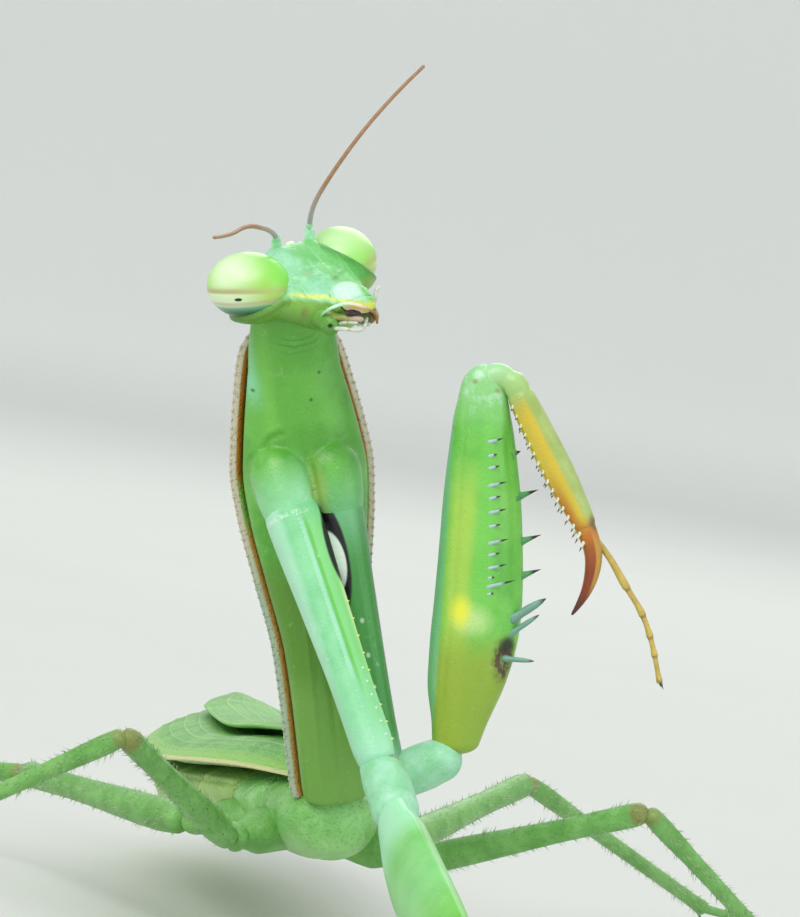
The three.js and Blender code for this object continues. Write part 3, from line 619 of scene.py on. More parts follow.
def openSockets(points):
    # draws the skin in under the bare part of each eye and lays it over the rest
    for side in (1, -1):
        local = eyeLocal(points, side)
        away = np.linalg.norm(local, axis=1)
        shows = eyeShows(local, side)
        bare = ease(shows, -0.06, 0.06) * ease(away, 1.4, 1.2)
        covered = ease(shows, 0.06, -0.06) * ease(away, 0.75, 0.9)
        want = away + bare * (np.minimum(away, 0.9) - away)
        want = want + covered * (np.maximum(want, 1.05) - want)
        moving = np.abs(want - away) > 1e-5
        scaled = eyeOut(local * (want / away)[:, None], side)
        points = np.where(moving[:, None], scaled, points)
    return points


def buildHead():
    height = skull["top"] - skull["low"]
    at = lambda t: skull["low"] + t * height
    case = limb(
        height,
        lambda t: skull["wide"](at(t)),
        lambda t: (skull["front"](at(t)) + skull["behind"](at(t))) / 2,
        bowY=lambda t: (skull["behind"](at(t)) - skull["front"](at(t))) / 2,
        square=2.2, sides=84, along=70, ends=(0.7, 0.5), low=skull["low"],
    )
    sockets = []
    for side in (1, -1):
        socket = egg((0, 0, 0), (1.06, 1.06, 1.06), 60, 40)
        socket["points"] = eyeOut(socket["points"], side) + (-side * 0.06, 0.1, -0.13)
        sockets.append(socket)
    lobes = [egg((s * 0.93, -0.6, -3.27), (0.36, 0.44, 0.5), 40, 28) for s in (1, -1)]
    lobes += [egg((s * 0.82, -0.55, -2.85), (0.46, 0.5, 0.5), 40, 28) for s in (1, -1)]
    lobes += [egg((0.12 + s * 0.62, -1.22, -2.95), (0.4, 0.34, 0.42), 40, 28) for s in (1, -1)]
    skin, normals = oneSkin([case] + sockets + lobes, skull["voxel"], skull["smooth"])
    p = skin["points"]
    face = ease(-normals[:, 1], 0.1, 0.6)
    lift = np.zeros(len(p))
    shield = [
        (-0.95, 0.25), (-1.17, -0.6), (-0.88, -1.35), (0.05, -1.8), (0.98, -1.35), (1.27, -0.6), (1.05, 0.25),
    ]
    lift += 0.06 * bell(lineDistance(p, *shield), 0.07) * face
    lift -= 0.05 * bell(lineDistance(p, (-0.55, -0.2), (0.65, -0.2)), 0.55) * face
    for s in (1, -1):
        lift += 0.035 * bell(lineDistance(p, (s * 0.32, 0.3), (s * 0.22, -1.5)), 0.07) * face
        cheek = lineDistance(p, (s * 1.3, -0.75), (s * 1.25, -2.15), (s * 0.8, -3.1))
        lift += 0.06 * bell(cheek, 0.08) * face
        lift -= 0.05 * bell(lineDistance(p, (s * 1.5, 0.5), (s * 1.5, -1.1), (s * 1.6, -1.8)), 0.11) * face
        lift += 0.08 * bell(lineDistance(p, (0.1 + s * 0.8, 0.55), (0.1 + s * 0.8, 0.7)), 0.28) * face
    lift -= 0.2 * bell(lineDistance(p, (-0.25, 1.25), (0.5, 1.25)), 0.35)
    skin["points"] = openSockets(p + normals * lift[:, None])
    skin["place"] = skin["points"].copy()
    shows = [eyeShows(eyeLocal(p, s), s) for s in (1, -1)]
    near = [np.linalg.norm(eyeLocal(p, s), axis=1) for s in (1, -1)]
    skin["tip"] = np.max([bell(g + 0.06, 0.09) * (r < 1.25) for g, r in zip(shows, near)], 0)

    finish, colour, pits = cuticle("head_shell", "62bb58", "86d284", 0.8, Roughness=0.36)
    x, y, z = finish.axes()
    # the face's right side painted paler mint: painted highlight where the light falls
    side = x.step(0.3, -1.2)
    colour = colour.washed(side * 0.5, "93d9b0")
    # the face's left side painted darker green: painted shade on the side turned from the light
    colour = colour.washed(x.step(0.75, 1.8) * 0.85, "4fae40")
    # pale bluish-white patches on the front of the face: painted highlights
    highlightPatches = finish.step(finish.noise(2.2, 5, 0.7), 0.47, 0.66) * y.step(-0.6, -1.1)
    colour = colour.washed(highlightPatches * 0.5 * x.step(1.1, 0.4), "b9ead6")
    # a pale bluish-white spot on the brow: painted highlight
    browHighlight = finish.spot((-1.0, -1.1, 0.2), (0.7, 0.7, 0.9), 0.7)
    colour = colour.washed(browHighlight * 0.4, "b0e6d2")
    middle = finish.spot((0.25, -1.3, 0.1), (0.85, 1.0, 0.7), 0.5)
    colour = colour.washed(middle * 0.7, "6cc268")
    # a pale mint spot low on the face's right: painted highlight
    plate = finish.spot((-0.65, -1.3, -2.2), (0.7, 0.8, 0.8), 0.6)
    colour = colour.washed(plate * 0.4, "9cdec2")
    # the cheek below the yellow line, the line and the seams
    back = y - z * 0.43
    colour = colour.washed(back.step(-0.2, 0.0), "7cb243")
    colour = colour.washed(back.step(0.2, 1.1) * 0.85, "5c8f26")
    colour = colour.washed(z.step(-2.3, -3.1) * back.step(0.0, 0.3) * 0.6, "4f9a34")
    gold = back.band(-0.33, -0.19, 0.07) * x.step(-0.45, -0.75) * z.step(-1.35, -1.7)
    colour = colour.washed(gold * 0.85, "dfe66c")
    colour = colour.washed(finish.read("tip") * 0.55, "3f7d22")
    for spotPlace, tone in (
        ((-1.5, -0.6, -2.36), "7c5a34"), ((-0.73, -1.35, -1.11), "b7a896"), ((0.17, -1.42, -1.8), "6c5a3c"),
    ):
        colour = colour.washed(finish.spot(spotPlace, (0.16, 0.25, 0.12), 0.8) * 0.42, tone)
    colour = colour.washed(x.step(0.55, 0.75) * z.step(-2.95, -3.2) * 0.8, "7d5a30")
    for s in (1, -1):
        dot = finish.spot((s * 1.17, -0.8, -3.55), (0.2, 0.085, 0.085), 0.4)
        colour = colour.washed(dot, "0d0c08")
    finish.paint(colour, bump=pits, depth=0.016)
    piece("head_capsule", moved(skin, headJoint), finish, ["head"])


eyeBand = {
    # the bands lie across two planes: the brown one and the pink edge of the dark lower part
    "normal": (-0.145, -0.796, 0.588), "brown": -0.137, "reach": 0.06,
    "lower": (-0.005, -0.829, 0.56), "edge": -0.496,
    "pupil": {"right": (1.14, -0.22, -0.78), "left": (1.2, 0.35, -0.55)},
    # the pupil's long and short directions, and its half size along each
    "oval": (((-0.779, -0.267, -0.567), 0.15), ((-0.213, -0.738, 0.64), 0.062)),
    # where each eye's painted highlight sits, and how strong it is
    "highlightSpot": {"right": (1.05, -0.78, 0.3, 0.75), "left": (-0.8, -1.15, 0.05, 0.5)},
}


def pupil(finish, centre):
    # a small flat oval where the facets look straight at the one who looks
    total = 0
    for direction, half in eyeBand["oval"]:
        apart = finish.along(direction) - float(vec(*centre) @ unit(vec(*direction)))
        apart = apart * (1 / half)
        total = apart * apart + total
    return total.step(1.3, 0.7) * finish.spot(centre, (0.5, 0.5, 0.5))


def buildEyes():
    for side, word in ((1, "left"), (-1, "right")):
        form = egg((0, 0, 0), (1, 1, 1), 128, 88)
        form["points"] = eyeOut(form["points"], side)
        form["place"] = (form["points"] - eyePlaces(side)) * (side, 1, 1)  # mirrored, so both eyes read alike
        finish = Finish(
            "eye_" + word, Roughness=0.28, Coat_Weight=0.3, Coat_Roughness=0.3,
            Subsurface_Weight=0.25, Subsurface_Scale=0.0006,
        )
        height = finish.along(eyeBand["normal"]) + 0.03 * (finish.noise(1.2) - 0.5)
        low = finish.along(eyeBand["lower"]) + 0.03 * (finish.noise(1.5) - 0.5)
        x = finish.axes()[0]
        outer = x.step(0.1, 1.35)
        inner = x.step(0.35, -0.5)
        colour = finish.mix(height.step(-0.1, 0.9), "a2da5c", "a0e468")
        colour = colour.washed(inner * 0.8, "84e04c")
        # a broad pale spot on the eye: painted highlight
        *highlightPlace, strength = eyeBand["highlightSpot"][word]
        highlightSpot = finish.spot(highlightPlace, (1.05, 0.85, 0.95), 0.8)
        colour = colour.washed(highlightSpot * strength, "ecf9dc")
        colour = colour.washed(height.step(1.05, 1.5) * 0.5, "9ccf5c")
        olive = height.step(0.12, -0.14)
        colour = colour.washed(olive * 0.7, "b9c57c")
        middle, reach = eyeBand["brown"], eyeBand["reach"]
        brown = height.band(middle - reach, middle + reach, 0.1)
        colour = colour.washed(brown * (0.1 + 0.7 * outer), "bb9a84")
        pale = height.step(middle - 0.04, middle - 0.15)
        colour = colour.washed(pale, finish.mix(outer, "b2d86a", "dcefc4"))
        edge = eyeBand["edge"]
        rim = low.band(edge - 0.05, edge + 0.1, 0.06) * pale
        colour = colour.washed(rim * 0.6, "c4ab95")
        # the eye's lower part goes dark teal, darkest at the bottom: painted shade and painted reflection
        teal = finish.mix(low.step(edge - 0.05, edge - 0.42), "7cbf94", "1d5a3a")
        colour = colour.washed(low.step(edge - 0.01, edge - 0.16) * pale, teal)
        colour = colour.washed(pupil(finish, eyeBand["pupil"][word]), "0b0a08")
        facets = finish.cells(26.0, "DISTANCE_TO_EDGE")
        finish.paint(colour, bump=facets, depth=0.003)
        piece("compound_eye_" + word, moved(form, headJoint), finish, ["eye_" + word])


def buildOcelli():
    finish = Finish("ocellus", Roughness=0.12, Coat_Weight=1.0, Coat_Roughness=0.05)
    finish.paint(finish.mix(finish.step(finish.noise(5.0), 0.3, 0.7), "f0f6dc", "d6ecc4"))
    beads = [egg((0.11 + s * 0.71, -0.53, 1.13), (0.22, 0.18, 0.16), 24, 16) for s in (1, -1)]
    beads.append(egg((0.12, -0.9, 0.97), (0.22, 0.17, 0.16), 24, 16))
    piece("ocelli", [moved(bead, headJoint) for bead in beads], finish)


mouth = {
    "jaw": {
        "left": ((0.93, -0.85, -2.95), (0.98, -0.95, -3.55), (0.66, -1.03, -4.11)),
        "right": ((-0.93, -0.85, -3.0), (-0.62, -1.12, -3.62), (-0.13, -1.34, -4.2)),
    },
    # the pale arch over the mouth: the cheek's ridge, then the lip's brown margin
    "arch": (
        (-1.12, -0.52, -2.86), (-1.16, -1.02, -3.03), (-1.0, -1.45, -3.24), (-0.6, -1.74, -3.5),
        (-0.23, -1.77, -3.77), (0.11, -1.68, -4.05), (0.5, -1.35, -4.17), (0.58, -1.0, -4.3),
    ),
    # places and the number of joints of each palp
    "palps": {
        "maxillary_palp_left": (
            (1.1, -0.4, -3.0), (1.48, -0.82, -2.97), (1.69, -1.11, -2.72), (1.94, -1.17, -2.62), 4,
        ),
        "maxillary_palp_right": (
            (-0.99, -0.37, -3.2), (-0.91, -0.97, -4.05), (-0.33, -1.08, -4.42), (0.27, -1.14, -3.98), 4,
        ),
        "labial_palp_left": ((0.5, -0.2, -3.3), (0.6, -0.6, -3.85), (0.32, -0.9, -4.1), 3),
        "labial_palp_right": ((-0.75, -0.4, -3.4), (-0.7, -0.94, -3.7), (-0.32, -1.19, -4.14), 3),
    },
}


def buildMouth():
    def creases(s, a):
        # a groove across the lip and a swelling below it
        return -0.03 * bell(s - 0.62, 0.05) + 0.04 * bell(s - 1.2, 0.3) * bell(np.sin(a) + 1, 0.5)

    lip = limb(
        1.95,
        profile([0, 0.3], [0.12, 0.6], [0.3, 0.78], [0.62, 0.84], [0.85, 0.62], [1, 0.3]),
        profile([0, 0.14], [0.3, 0.31], [0.8, 0.36], [1, 0.25]),
        bowY=profile([0, 0.02], [0.5, 0.0], [1, 0.14]),
        bowX=profile([0, 0.08], [1, -0.02]),
        sides=64, along=60, ends=(0.2, 0.4), relief=creases,
    )
    lip["points"] = lip["points"] + (0.12, -1.42, -3.98)
    # a dark egg in the gap under the lip: a dark piece set where there is shade
    hollow = egg((-0.12, -1.4, -3.72), (0.58, 0.14, 0.2), 36, 24)
    hollow["mark"] = np.ones(len(hollow["points"]))
    finish, colour, pits = cuticle("lip_shell", "86d28c", "a8e4b4", 2.0, Roughness=0.32)
    x, y, z = finish.axes()
    # a pale white-mint patch on the lit side of the lip: painted highlight
    patch = finish.spot((-0.25, -0.35, 1.1), (0.6, 0.5, 0.62), 0.6)
    colour = colour.washed(patch * (0.45 + 0.5 * finish.noise(2.0, 4, 0.6)), "dcf3ee")
    # the lip's left side painted darker, more saturated green: painted shade on the side turned away
    colour = colour.washed(x.step(0.2, 0.55) * 0.9, "5cba3a")
    slope = z + finish.sum("MINIMUM", x, 0.05) * 0.77
    colour = colour.washed(slope.step(0.48, 0.3) * 0.9, "d0d648")
    colour = colour.washed(slope.step(0.06, 0.0), "d8c29a")
    # the lip's underside and the gap below it painted dark red-black: partly the lip's own dark underside,
    # partly painted shade
    dark = y.step(-0.05, 0.05) + slope.step(-0.08, -0.14) + finish.read("mark")
    colour = colour.washed(dark.step(0.2, 0.6), "230c08")
    finish.paint(colour, bump=pits, depth=0.015)
    pieces = [moved(part, headJoint) for part in (lip, hollow)]
    piece("labrum_and_clypeus", pieces, finish, ["clypeus_labrum"])

    for word, spots in mouth["jaw"].items():
        path = Path(*spots)
        jaw = sweep(
            path, profile([0, 0.2], [0.4, 0.17], [1, 0.11]), profile([0, 0.2], [0.4, 0.14], [1, 0.1]),
            up=(0, 1, 0), sides=32, along=40, ends=(0.1, 0.14),
        )
        finish, colour, pits = cuticle("jaw_shell_" + word, "7c8f3a", "a5ad5a", 2.4, Roughness=0.3)
        y, z = finish.axes()[1:]
        colour = colour.washed(z.step(0.75, 1.25), "b9a08e" if word == "right" else "8a5c2c")
        colour = colour.washed(y.step(0.02, 0.12) * 0.8, "4a2a14")
        finish.paint(colour, bump=pits)
        piece("jaw_" + word, moved(jaw, headJoint), finish, ["mandible_" + word])

    path = Path(*mouth["arch"])
    arch = sweep(
        path, profile([0, 0.04], [0.15, 0.07], [0.3, 0.09], [0.8, 0.075], [1, 0.06]), level(0.055),
        up=(0, 1, 0), sides=20, along=70, ends=(0.1, 0.08),
    )
    finish, colour, pits = cuticle("mouth_arch", "a6dcb4", "d6f1e6", 2.0)
    z = finish.axes()[2]
    colour = colour.washed(z.step(path.length * 0.22, path.length * 0.08), "6fbf5c")
    colour = colour.washed(z.step(path.length * 0.42, path.length * 0.55), "ead9b8")
    colour = colour.washed(z.step(path.length * 0.6, path.length * 0.78), "9c6c40")
    finish.paint(colour, bump=pits)
    piece("mouth_arch_ridge", moved(arch, headJoint), finish)

    chin = limb(
        2.0,
        profile([0, 0.45], [0.4, 0.8], [1, 1.0]), profile([0, 0.25], [0.5, 0.42], [1, 0.4]),
        bowY=profile([0, -0.15], [1, 0.1]), sides=48, along=40, ends=(0.2, 0.3),
        relief=lambda s, a: -0.08 * bell(np.cos(a), 0.12) - 0.05 * bell(s - 0.9, 0.06),
    )
    chin["points"] = chin["points"] + (0.05, -0.15, -3.45)
    finish, colour, pits = cuticle("chin_shell", "62a634", "8cc35a", 1.8, Roughness=0.34)
    z = finish.axes()[2]
    colour = colour.washed(z.step(-0.2, 0.1) * 0.8, "9bbf62")
    finish.paint(colour, bump=pits)
    piece("maxillae_and_chin", moved(chin, headJoint), finish, ["maxillae_labium"])

    finish, colour, pits = cuticle("palp_shell", "b4c4b2", "d9dccf", 3.0, Roughness=0.32)
    colour = colour.washed(finish.step(finish.read("mark"), 0.3, 0.8) * 0.5, "b39a80")
    finish.paint(colour, bump=pits, depth=0.01)
    for name, (*spots, count) in mouth["palps"].items():
        path = Path(*spots)
        pinch = lambda t, n=count: 1 - 0.15 * np.abs(np.cos(pi * n * np.asarray(t))) ** 8
        thick = lambda t: 0.092 * pinch(t) * (1 - 0.15 * np.asarray(t))
        form = sweep(path, thick, thick, up=(0, 1, 0.1), sides=20, along=70, ends=(0.08, 0.09))
        share = form["place"][:, 2] / path.length
        form["mark"] = np.abs(np.cos(pi * count * share)) ** 24 * (share > 0.08) * (share < 0.92)
        piece(name + "_jointed", moved(form, headJoint), finish, [name])


feeler = {
    "left": [
        (-5.66, -4.68, 30.99), (-5.73, -5.1, 31.46), (-5.7, -5.59, 32.04), (-5.28, -6.53, 33.41),
        (-4.52, -7.31, 35.1), (-3.54, -7.84, 36.74), (-2.78, -8.15, 37.82),
    ],
    "right": [
        (-7.05, -5.55, 30.3), (-7.28, -5.9, 30.45), (-7.57, -6.29, 30.55), (-7.91, -6.73, 30.59),
        (-8.31, -7.26, 30.61), (-8.65, -7.8, 30.56), (-8.92, -8.26, 30.47), (-9.41, -9.3, 30.25),
        (-10.04, -10.81, 30.1), (-10.78, -13.22, 30.03),
    ],
    # where each scape stands on the brow, its direction and its length
    "scape": {
        "left": ((0.88, -0.93, 0.66), (0.15, -0.5, 0.42), 0.66),
        "right": ((-0.7, -0.85, 0.68), (0, -0.42, 0.25), 0.72),
    },
    "ring": 0.12, "root": 0.105, "tip": 0.065,
}


def buildFeelers():
    base, colour, pits = cuticle("scape_shell", "8fd6a0", "c2f0d0", 2.0, Roughness=0.35)
    base.paint(colour, bump=pits, depth=0.012)
    for word in ("left", "right"):
        root, aim, tall = feeler["scape"][word]
        stand = Joint(headJoint.out(vec(*root)), unit(vec(*aim)) @ headJoint.axes, (0, -1, 0.3))
        bulb = profile([0, 0.3], [0.25, 0.215], [0.7, 0.2], [0.92, 0.185], [1, 0.14])
        scape = moved(limb(tall, bulb, bulb, sides=32, along=36, ends=(0.08, 0.1)), stand)
        first, second = (vec(*p) for p in feeler[word][:2])
        along = unit(second - first)
        bead = profile([0, 0.11], [0.5, 0.145], [1, 0.11])
        pedicel = limb(0.3, bead, bead, sides=28, along=20, ends=(0.06, 0.06))
        pedicel = moved(pedicel, Joint(first - along * 0.18, along, (0, -1, 0.3)))
        piece("scape_" + word, [scape, pedicel], base, ["antenna_base_" + word])

        path = Path(*feeler[word])
        count = round(path.length / feeler["ring"])
        wave = lambda t: 1 + 0.07 * np.abs(np.sin(pi * count * np.asarray(t)))
        thick = lambda t: (feeler["root"] + (feeler["tip"] - feeler["root"]) * np.asarray(t) ** 0.6) * wave(t)
        form = sweep(path, thick, thick, up=(0.3, 1, 0.2), sides=16, along=count * 6, ends=(0.06, 0.1))
        finish = Finish("flagellum_" + word, Roughness=0.5)
        z = finish.axes()[2]
        tone = finish.mix(z.step(0.3, 2.6), "b3a9ae", "a97f5e")
        ring = finish.sum("PINGPONG", z, feeler["ring"] / 2)
        tone = finish.mix(ring.step(0.025, 0.0) * 0.45, tone, "6e5340")
        finish.paint(finish.mix(finish.step(finish.noise(3.0), 0.4, 0.8) * 0.4, tone, "c0a08a"))
        piece("flagellum_" + word, form, finish, ["antenna_" + word])


buildHead()
buildEyes()
buildOcelli()
buildMouth()
buildFeelers()
print("head built")


# ---- neck, chest and pronotum ----

prothorax = {"length": 19.6, "overhang": 0.7, "turn": -57, "rise": 70, "shell": 0.34}
chestJoint = Joint((0, 0, 8), heading(prothorax["turn"], prothorax["rise"]), (0, -1, 0))
shieldEnd = prothorax["length"] + prothorax["overhang"]
shieldHalfWidth = profile(
    [0, 1.75], [1, 1.88], [4.2, 1.9], [6.6, 1.98], [9.8, 2.43], [12.4, 2.8], [14.2, 2.92],
    [15.4, 2.8], [17.7, 2.42], [19.3, 2.05], [shieldEnd, 1.3],
)
shieldHeight = profile([0, 1.0], [4, 1.05], [10, 1.2], [14, 1.55], [17, 1.35], [19.5, 1.05], [shieldEnd, 0.7])


foreLeg = {"coxa": 11.8, "trochanter": 2.9, "femur": 15.1, "kneeCap": 0.5, "tibia": 7.1}
grasp = {
    "left": {
        "shoulder": (-2.88, -4.28, 20.66), "coxa": (77, -70.95), "trochanter": (73.7, 32),
        "femur": (-105.4, 85), "tibia": (68.3, -54), "bend": (1.05, -0.31, 0.34), "front": (-0.2, -0.97, 0.1),
        "foot": (0.16, 0.11),
        "toes": [
            (7.8, -7.47, 19.87), (8.59, -7.64, 18.87), (9.42, -7.77, 17.86), (9.96, -7.89, 16.84),
            (10.58, -8.01, 15.16),
        ],
    },
    "right": {
        "shoulder": (-4.92, -4.54, 20.28), "coxa": (46, -57), "trochanter": (5, -30),
        "femur": (2, -12.8), "tibia": (-1, -15), "bend": (0, 0, 0), "front": (-1, 0, 0),
        "foot": (0.22, 0.15),
        "toes": [
            (-0.35, -32.6, 3.9), (-1.4, -34.8, 2.3), (-2.3, -36.8, 0.5), (-2.8, -38.4, 0.24),
            (-3.25, -39.75, 0.24),
        ],
    },
}


def graspJoint(side, bone, place):
    return Joint(place, heading(*grasp[side][bone]), grasp[side]["front"])


def buildThroat():
    span = prothorax["length"] - 0.6
    chest = limb(
        span,
        lambda t: np.maximum(shieldHalfWidth(t * span) - 0.4, 0.6),
        profile([0, 0.85], [0.2, 0.9], [0.55, 1.0], [0.76, 1.3], [0.9, 1.15], [1, 0.95]),
        bowY=profile([0, -0.65], [0.6, -0.6], [0.78, -0.75], [1, -0.6]),
        sides=72, along=110, ends=(0.4, 0.5),
    )
    neckFoot, headBack = vec(-5.5, -4.0, 26.2), headPlace - 0.55 * headFacing
    path = Path(
        neckFoot - 1.2 * heading(prothorax["turn"], prothorax["rise"]), neckFoot + (-0.05, -0.25, 0.2),
        headBack + (0.05, -0.1, -0.9), headBack,
    )
    neck = sweep(
        path, profile([0, 1.9], [0.5, 1.72], [1, 1.3]), profile([0, 1.1], [0.5, 1.0], [1, 0.85]),
        up=(0, 1, 0), sides=56, along=60, ends=(0.3, 0.3),
    )
    shoulders = {side: graspJoint(side, "coxa", vec(*grasp[side]["shoulder"])) for side in ("left", "right")}
    lobeWide = profile([0, 1.1], [0.45, 1.18], [0.7, 1.12], [0.92, 0.98], [1, 0.9])
    lobeDeep = profile([0, 1.05], [0.45, 1.15], [0.7, 1.14], [0.92, 1.06], [1, 0.98])
    lobe = limb(3.3, lobeWide, lobeDeep, square=2.2, sides=48, along=40, ends=(1.25, 0.1), low=-2.2)
    lobes = [moved(lobe, joint) for joint in shoulders.values()]
    skin, normals = oneSkin([moved(chest, chestJoint), neck] + lobes, 0.08, 5)
    p = chestJoint.into(skin["points"])
    n = normals @ chestJoint.axes.T
    front = ease(-n[:, 1], 0.0, 0.6)
    lift = -0.09 * bell(p[:, 0], 0.12) * front * ease(p[:, 2], 11.2, 12.5) * ease(p[:, 2], 15.5, 14.5)
    lift -= 0.06 * bell(p[:, 0], 0.1) * front * ease(p[:, 2], 10.5, 9)
    lift += 0.05 * (bell(p[:, 0] - 0.75, 0.1) + bell(p[:, 0] + 0.75, 0.1)) * front * ease(p[:, 2], 10.5, 9)
    lift += 0.07 * bell(lineDistance(p, (-2.35, 15.2), (-1.5, 16.3), (-1.0, 16.5)), 0.12) * front
    lift -= 0.07 * bell(lineDistance(p, (-2.2, 14.95), (-1.4, 16.05), (-0.9, 16.2)), 0.1) * front
    skin["points"] = skin["points"] + normals * lift[:, None]
    skin["place"] = p
    # how far a point lies on each shoulder lobe
    on = {}
    for side, joint in shoulders.items():
        local = joint.into(skin["points"])
        across = np.hypot(local[:, 0] / 1.2, local[:, 1] / 1.12)
        on[side] = bell(np.maximum(across - 1.02, 0), 0.12) * ease(local[:, 2], -1.6, 0.9)
    skin["mark"], skin["tip"] = on["right"], on["left"]

    finish, colour, pits = cuticle("throat_skin", "4fa02c", "6cbb44", 0.7, Roughness=0.36, Coat_Weight=0.25)
    x, z = finish.axes()[::2]
    high = z.step(15.2, 16.8) * x.step(1.6, 0.9)
    colour = colour.washed(high * 0.65, "63b23c")
    # a pale mint strip on the left of the neck: painted highlight
    highlightStrip = finish.band(x + (z - 18) * 0.1, -2.2, -1.55, 0.35) * z.step(16.8, 18.4)
    colour = colour.washed(highlightStrip * 0.8, "93dfb2")
    colour = colour.washed(x.band(-1.5, -1.1, 0.3) * z.step(15.4, 17.5) * 0.4, "86cf55")
    # dark lines in the neck's folds: painted shade in the creases
    across, along = x - 0.05, (z - 20.9) * 1.1
    away = finish.sum("SQRT", across * across + along * along) + finish.noise(0.9, 3, 0.6) * 0.4
    folds = finish.sum("SINE", away * 22)
    crease = folds.step(-0.1, -0.9) * away.step(2.3, 1.6) * x.step(-1.1, -0.3)
    crease = crease * x.step(1.3, 0.7) * z.step(20.3, 19.9)
    colour = colour.washed(crease * 0.4, "37791c")
    wedge = finish.spot((0.12, -2.5, 13.9), (0.3, 1.2, 1.0), 0.8)
    # the chest's left side painted darker green: painted shadow beside the left coxa
    colour = colour.washed(x.step(0.9, 1.9) * z.step(13.5, 15.0) * 0.5, "3c8424")
    hollow = finish.spot((0.0, -1.3, 15.6), (1.4, 1.6, 0.8), 0.7)
    colour = colour.washed(hollow * 0.45, "3d8a1e")
    colour = colour.washed(z.step(11.5, 9.5), "5d9426")
    colour = colour.washed(z.step(6.5, 4.5) * 0.5, "7fb451")
    for shoulder, tones in (("mark", ("7ccb84", "9fe3b4")), ("tip", ("57a85a", "74bb80"))):
        colour = colour.washed(finish.read(shoulder), finish.mix(finish.noise(1.2, 4), *tones))
    flecks = finish.step(finish.noise(2.2, 6, 0.75), 0.6, 0.75)
    colour = colour.washed(flecks * 0.4, "cdeebb")
    colour = colour.washed(wedge * 0.75, "96b450")
    for x0, z0 in ((0.84, 18.42), (-1.81, 17.96), (0.36, 17.42)):
        colour = colour.washed(finish.spot((x0, -1.5, z0), (0.07, 1.2, 0.07), 0.6) * 0.8, "1f4a12")
    finish.paint(colour, bump=pits, depth=0.011)
    piece("throat_and_chest", skin, finish, ["neck", "prosternum"])


def buildPronotum():
    thick = prothorax["shell"]
    start, across, along = 0.35, 96, 220

    def place(u, v, h):
        z = start + v * (shieldEnd - start)
        a = pi * u
        flare = 0.5 * bell(np.minimum(u, 1 - u), 0.05)
        inset = (1 - h) * thick * (1 + 0.55 * bell(np.minimum(u, 1 - u), 0.03))
        wide, high = shieldHalfWidth(z) - inset * 0.95, shieldHeight(z) - inset
        groove = 0.16 * bell(z - 14.0 - 0.5 * np.abs(np.cos(a)), 0.28) * ease(np.sin(a), 0.1, 0.6)
        keel = 0.14 * bell(np.cos(a), 0.07) * ease(z, 0.5, 2) * ease(z, 20, 18.5)
        rise = high * np.maximum(np.sin(a), 0) - groove + keel
        x = wide * np.cos(a) * (1 + 0.012 * flare)
        return np.stack(np.broadcast_arrays(x, -0.1 + rise, z), -1)

    u = np.linspace(0, 1, across)
    u = 0.5 - 0.5 * np.cos(pi * u) * (0.35 + 0.65 * np.abs(np.cos(pi * u)) ** 0.5)
    v = np.linspace(0, 1, along)[:, None]
    outer, inner = place(u[None], v, 1.0), place(u[None], v, 0.0)
    lip = 0.5 * (outer + inner)
    lipLeft, lipRight = lip[:, :1] + (0, -0.1, 0), lip[:, -1:] + (0, -0.1, 0)
    loop = np.concatenate([outer, lipRight, inner[:, ::-1], lipLeft], 1)
    edgeFront = loop[-1:] * 0.5 + lipRing(loop[-1:], across) * 0.5
    edgeBack = loop[:1] * 0.5 + lipRing(loop[:1], across) * 0.5
    points = np.concatenate([edgeBack + (0, 0, -0.06), loop, edgeFront + (0, 0, 0.06)])
    form = ribbonShell(points, across)
    z = np.arange(0.8, shieldEnd - 0.3, 0.36)
    teeth = []
    for s in (1, -1):
        roots = np.stack([s * shieldHalfWidth(z), np.full_like(z, -0.1), z], -1)
        size = 0.06 + 0.03 * ease(z, 8, 14)
        leans = np.tile((s, -0.35, 0.35), (len(z), 1))
        teeth.append(spikes(roots, leans, size, 0.055, 6, levels=(-0.5, 0, 0.4, 0.8, 1)))
    form["place"] = form["points"].copy()

    finish, colour, pits = cuticle("pronotum_shell", "5fa63a", "7fbf58", 0.6, Roughness=0.4)
    z = finish.axes()[2]
    # distance in from the rim, along the shield's own curve
    rim = finish.read("mark")
    stripe = rim.band(0.2, 0.55, 0.08)
    strong = 1 - z.band(12.0, 14.0, 0.5) * 0.85
    amber = finish.mix(z.step(12.5, 14.5), "d0904a", "c2681e")
    colour = colour.washed(stripe * strong * 0.9, amber)
    cream = rim.step(0.27, 0.19)
    colour = colour.washed(cream, finish.mix(z.step(9.0, 12.0), "b0c0a8", "cfc4ae"))
    form["mark"] = rimDistance(form["points"])
    for row in teeth:
        row["mark"] = np.full(len(row["points"]), 0.02)
    finish.paint(colour, bump=pits, depth=0.03)
    parts = [moved(part, chestJoint) for part in [form] + teeth]
    piece("pronotum_shield", parts, finish, ["pronotum"])


def lipRing(loop, across):
    # the middle of a shell's two walls, matched point for point
    middle = 0.5 * (loop[:, :across] + loop[:, across + 1 : -1][:, ::-1])
    return np.concatenate([middle, loop[:, across : across + 1], middle[:, ::-1], loop[:, -1:]], 1)


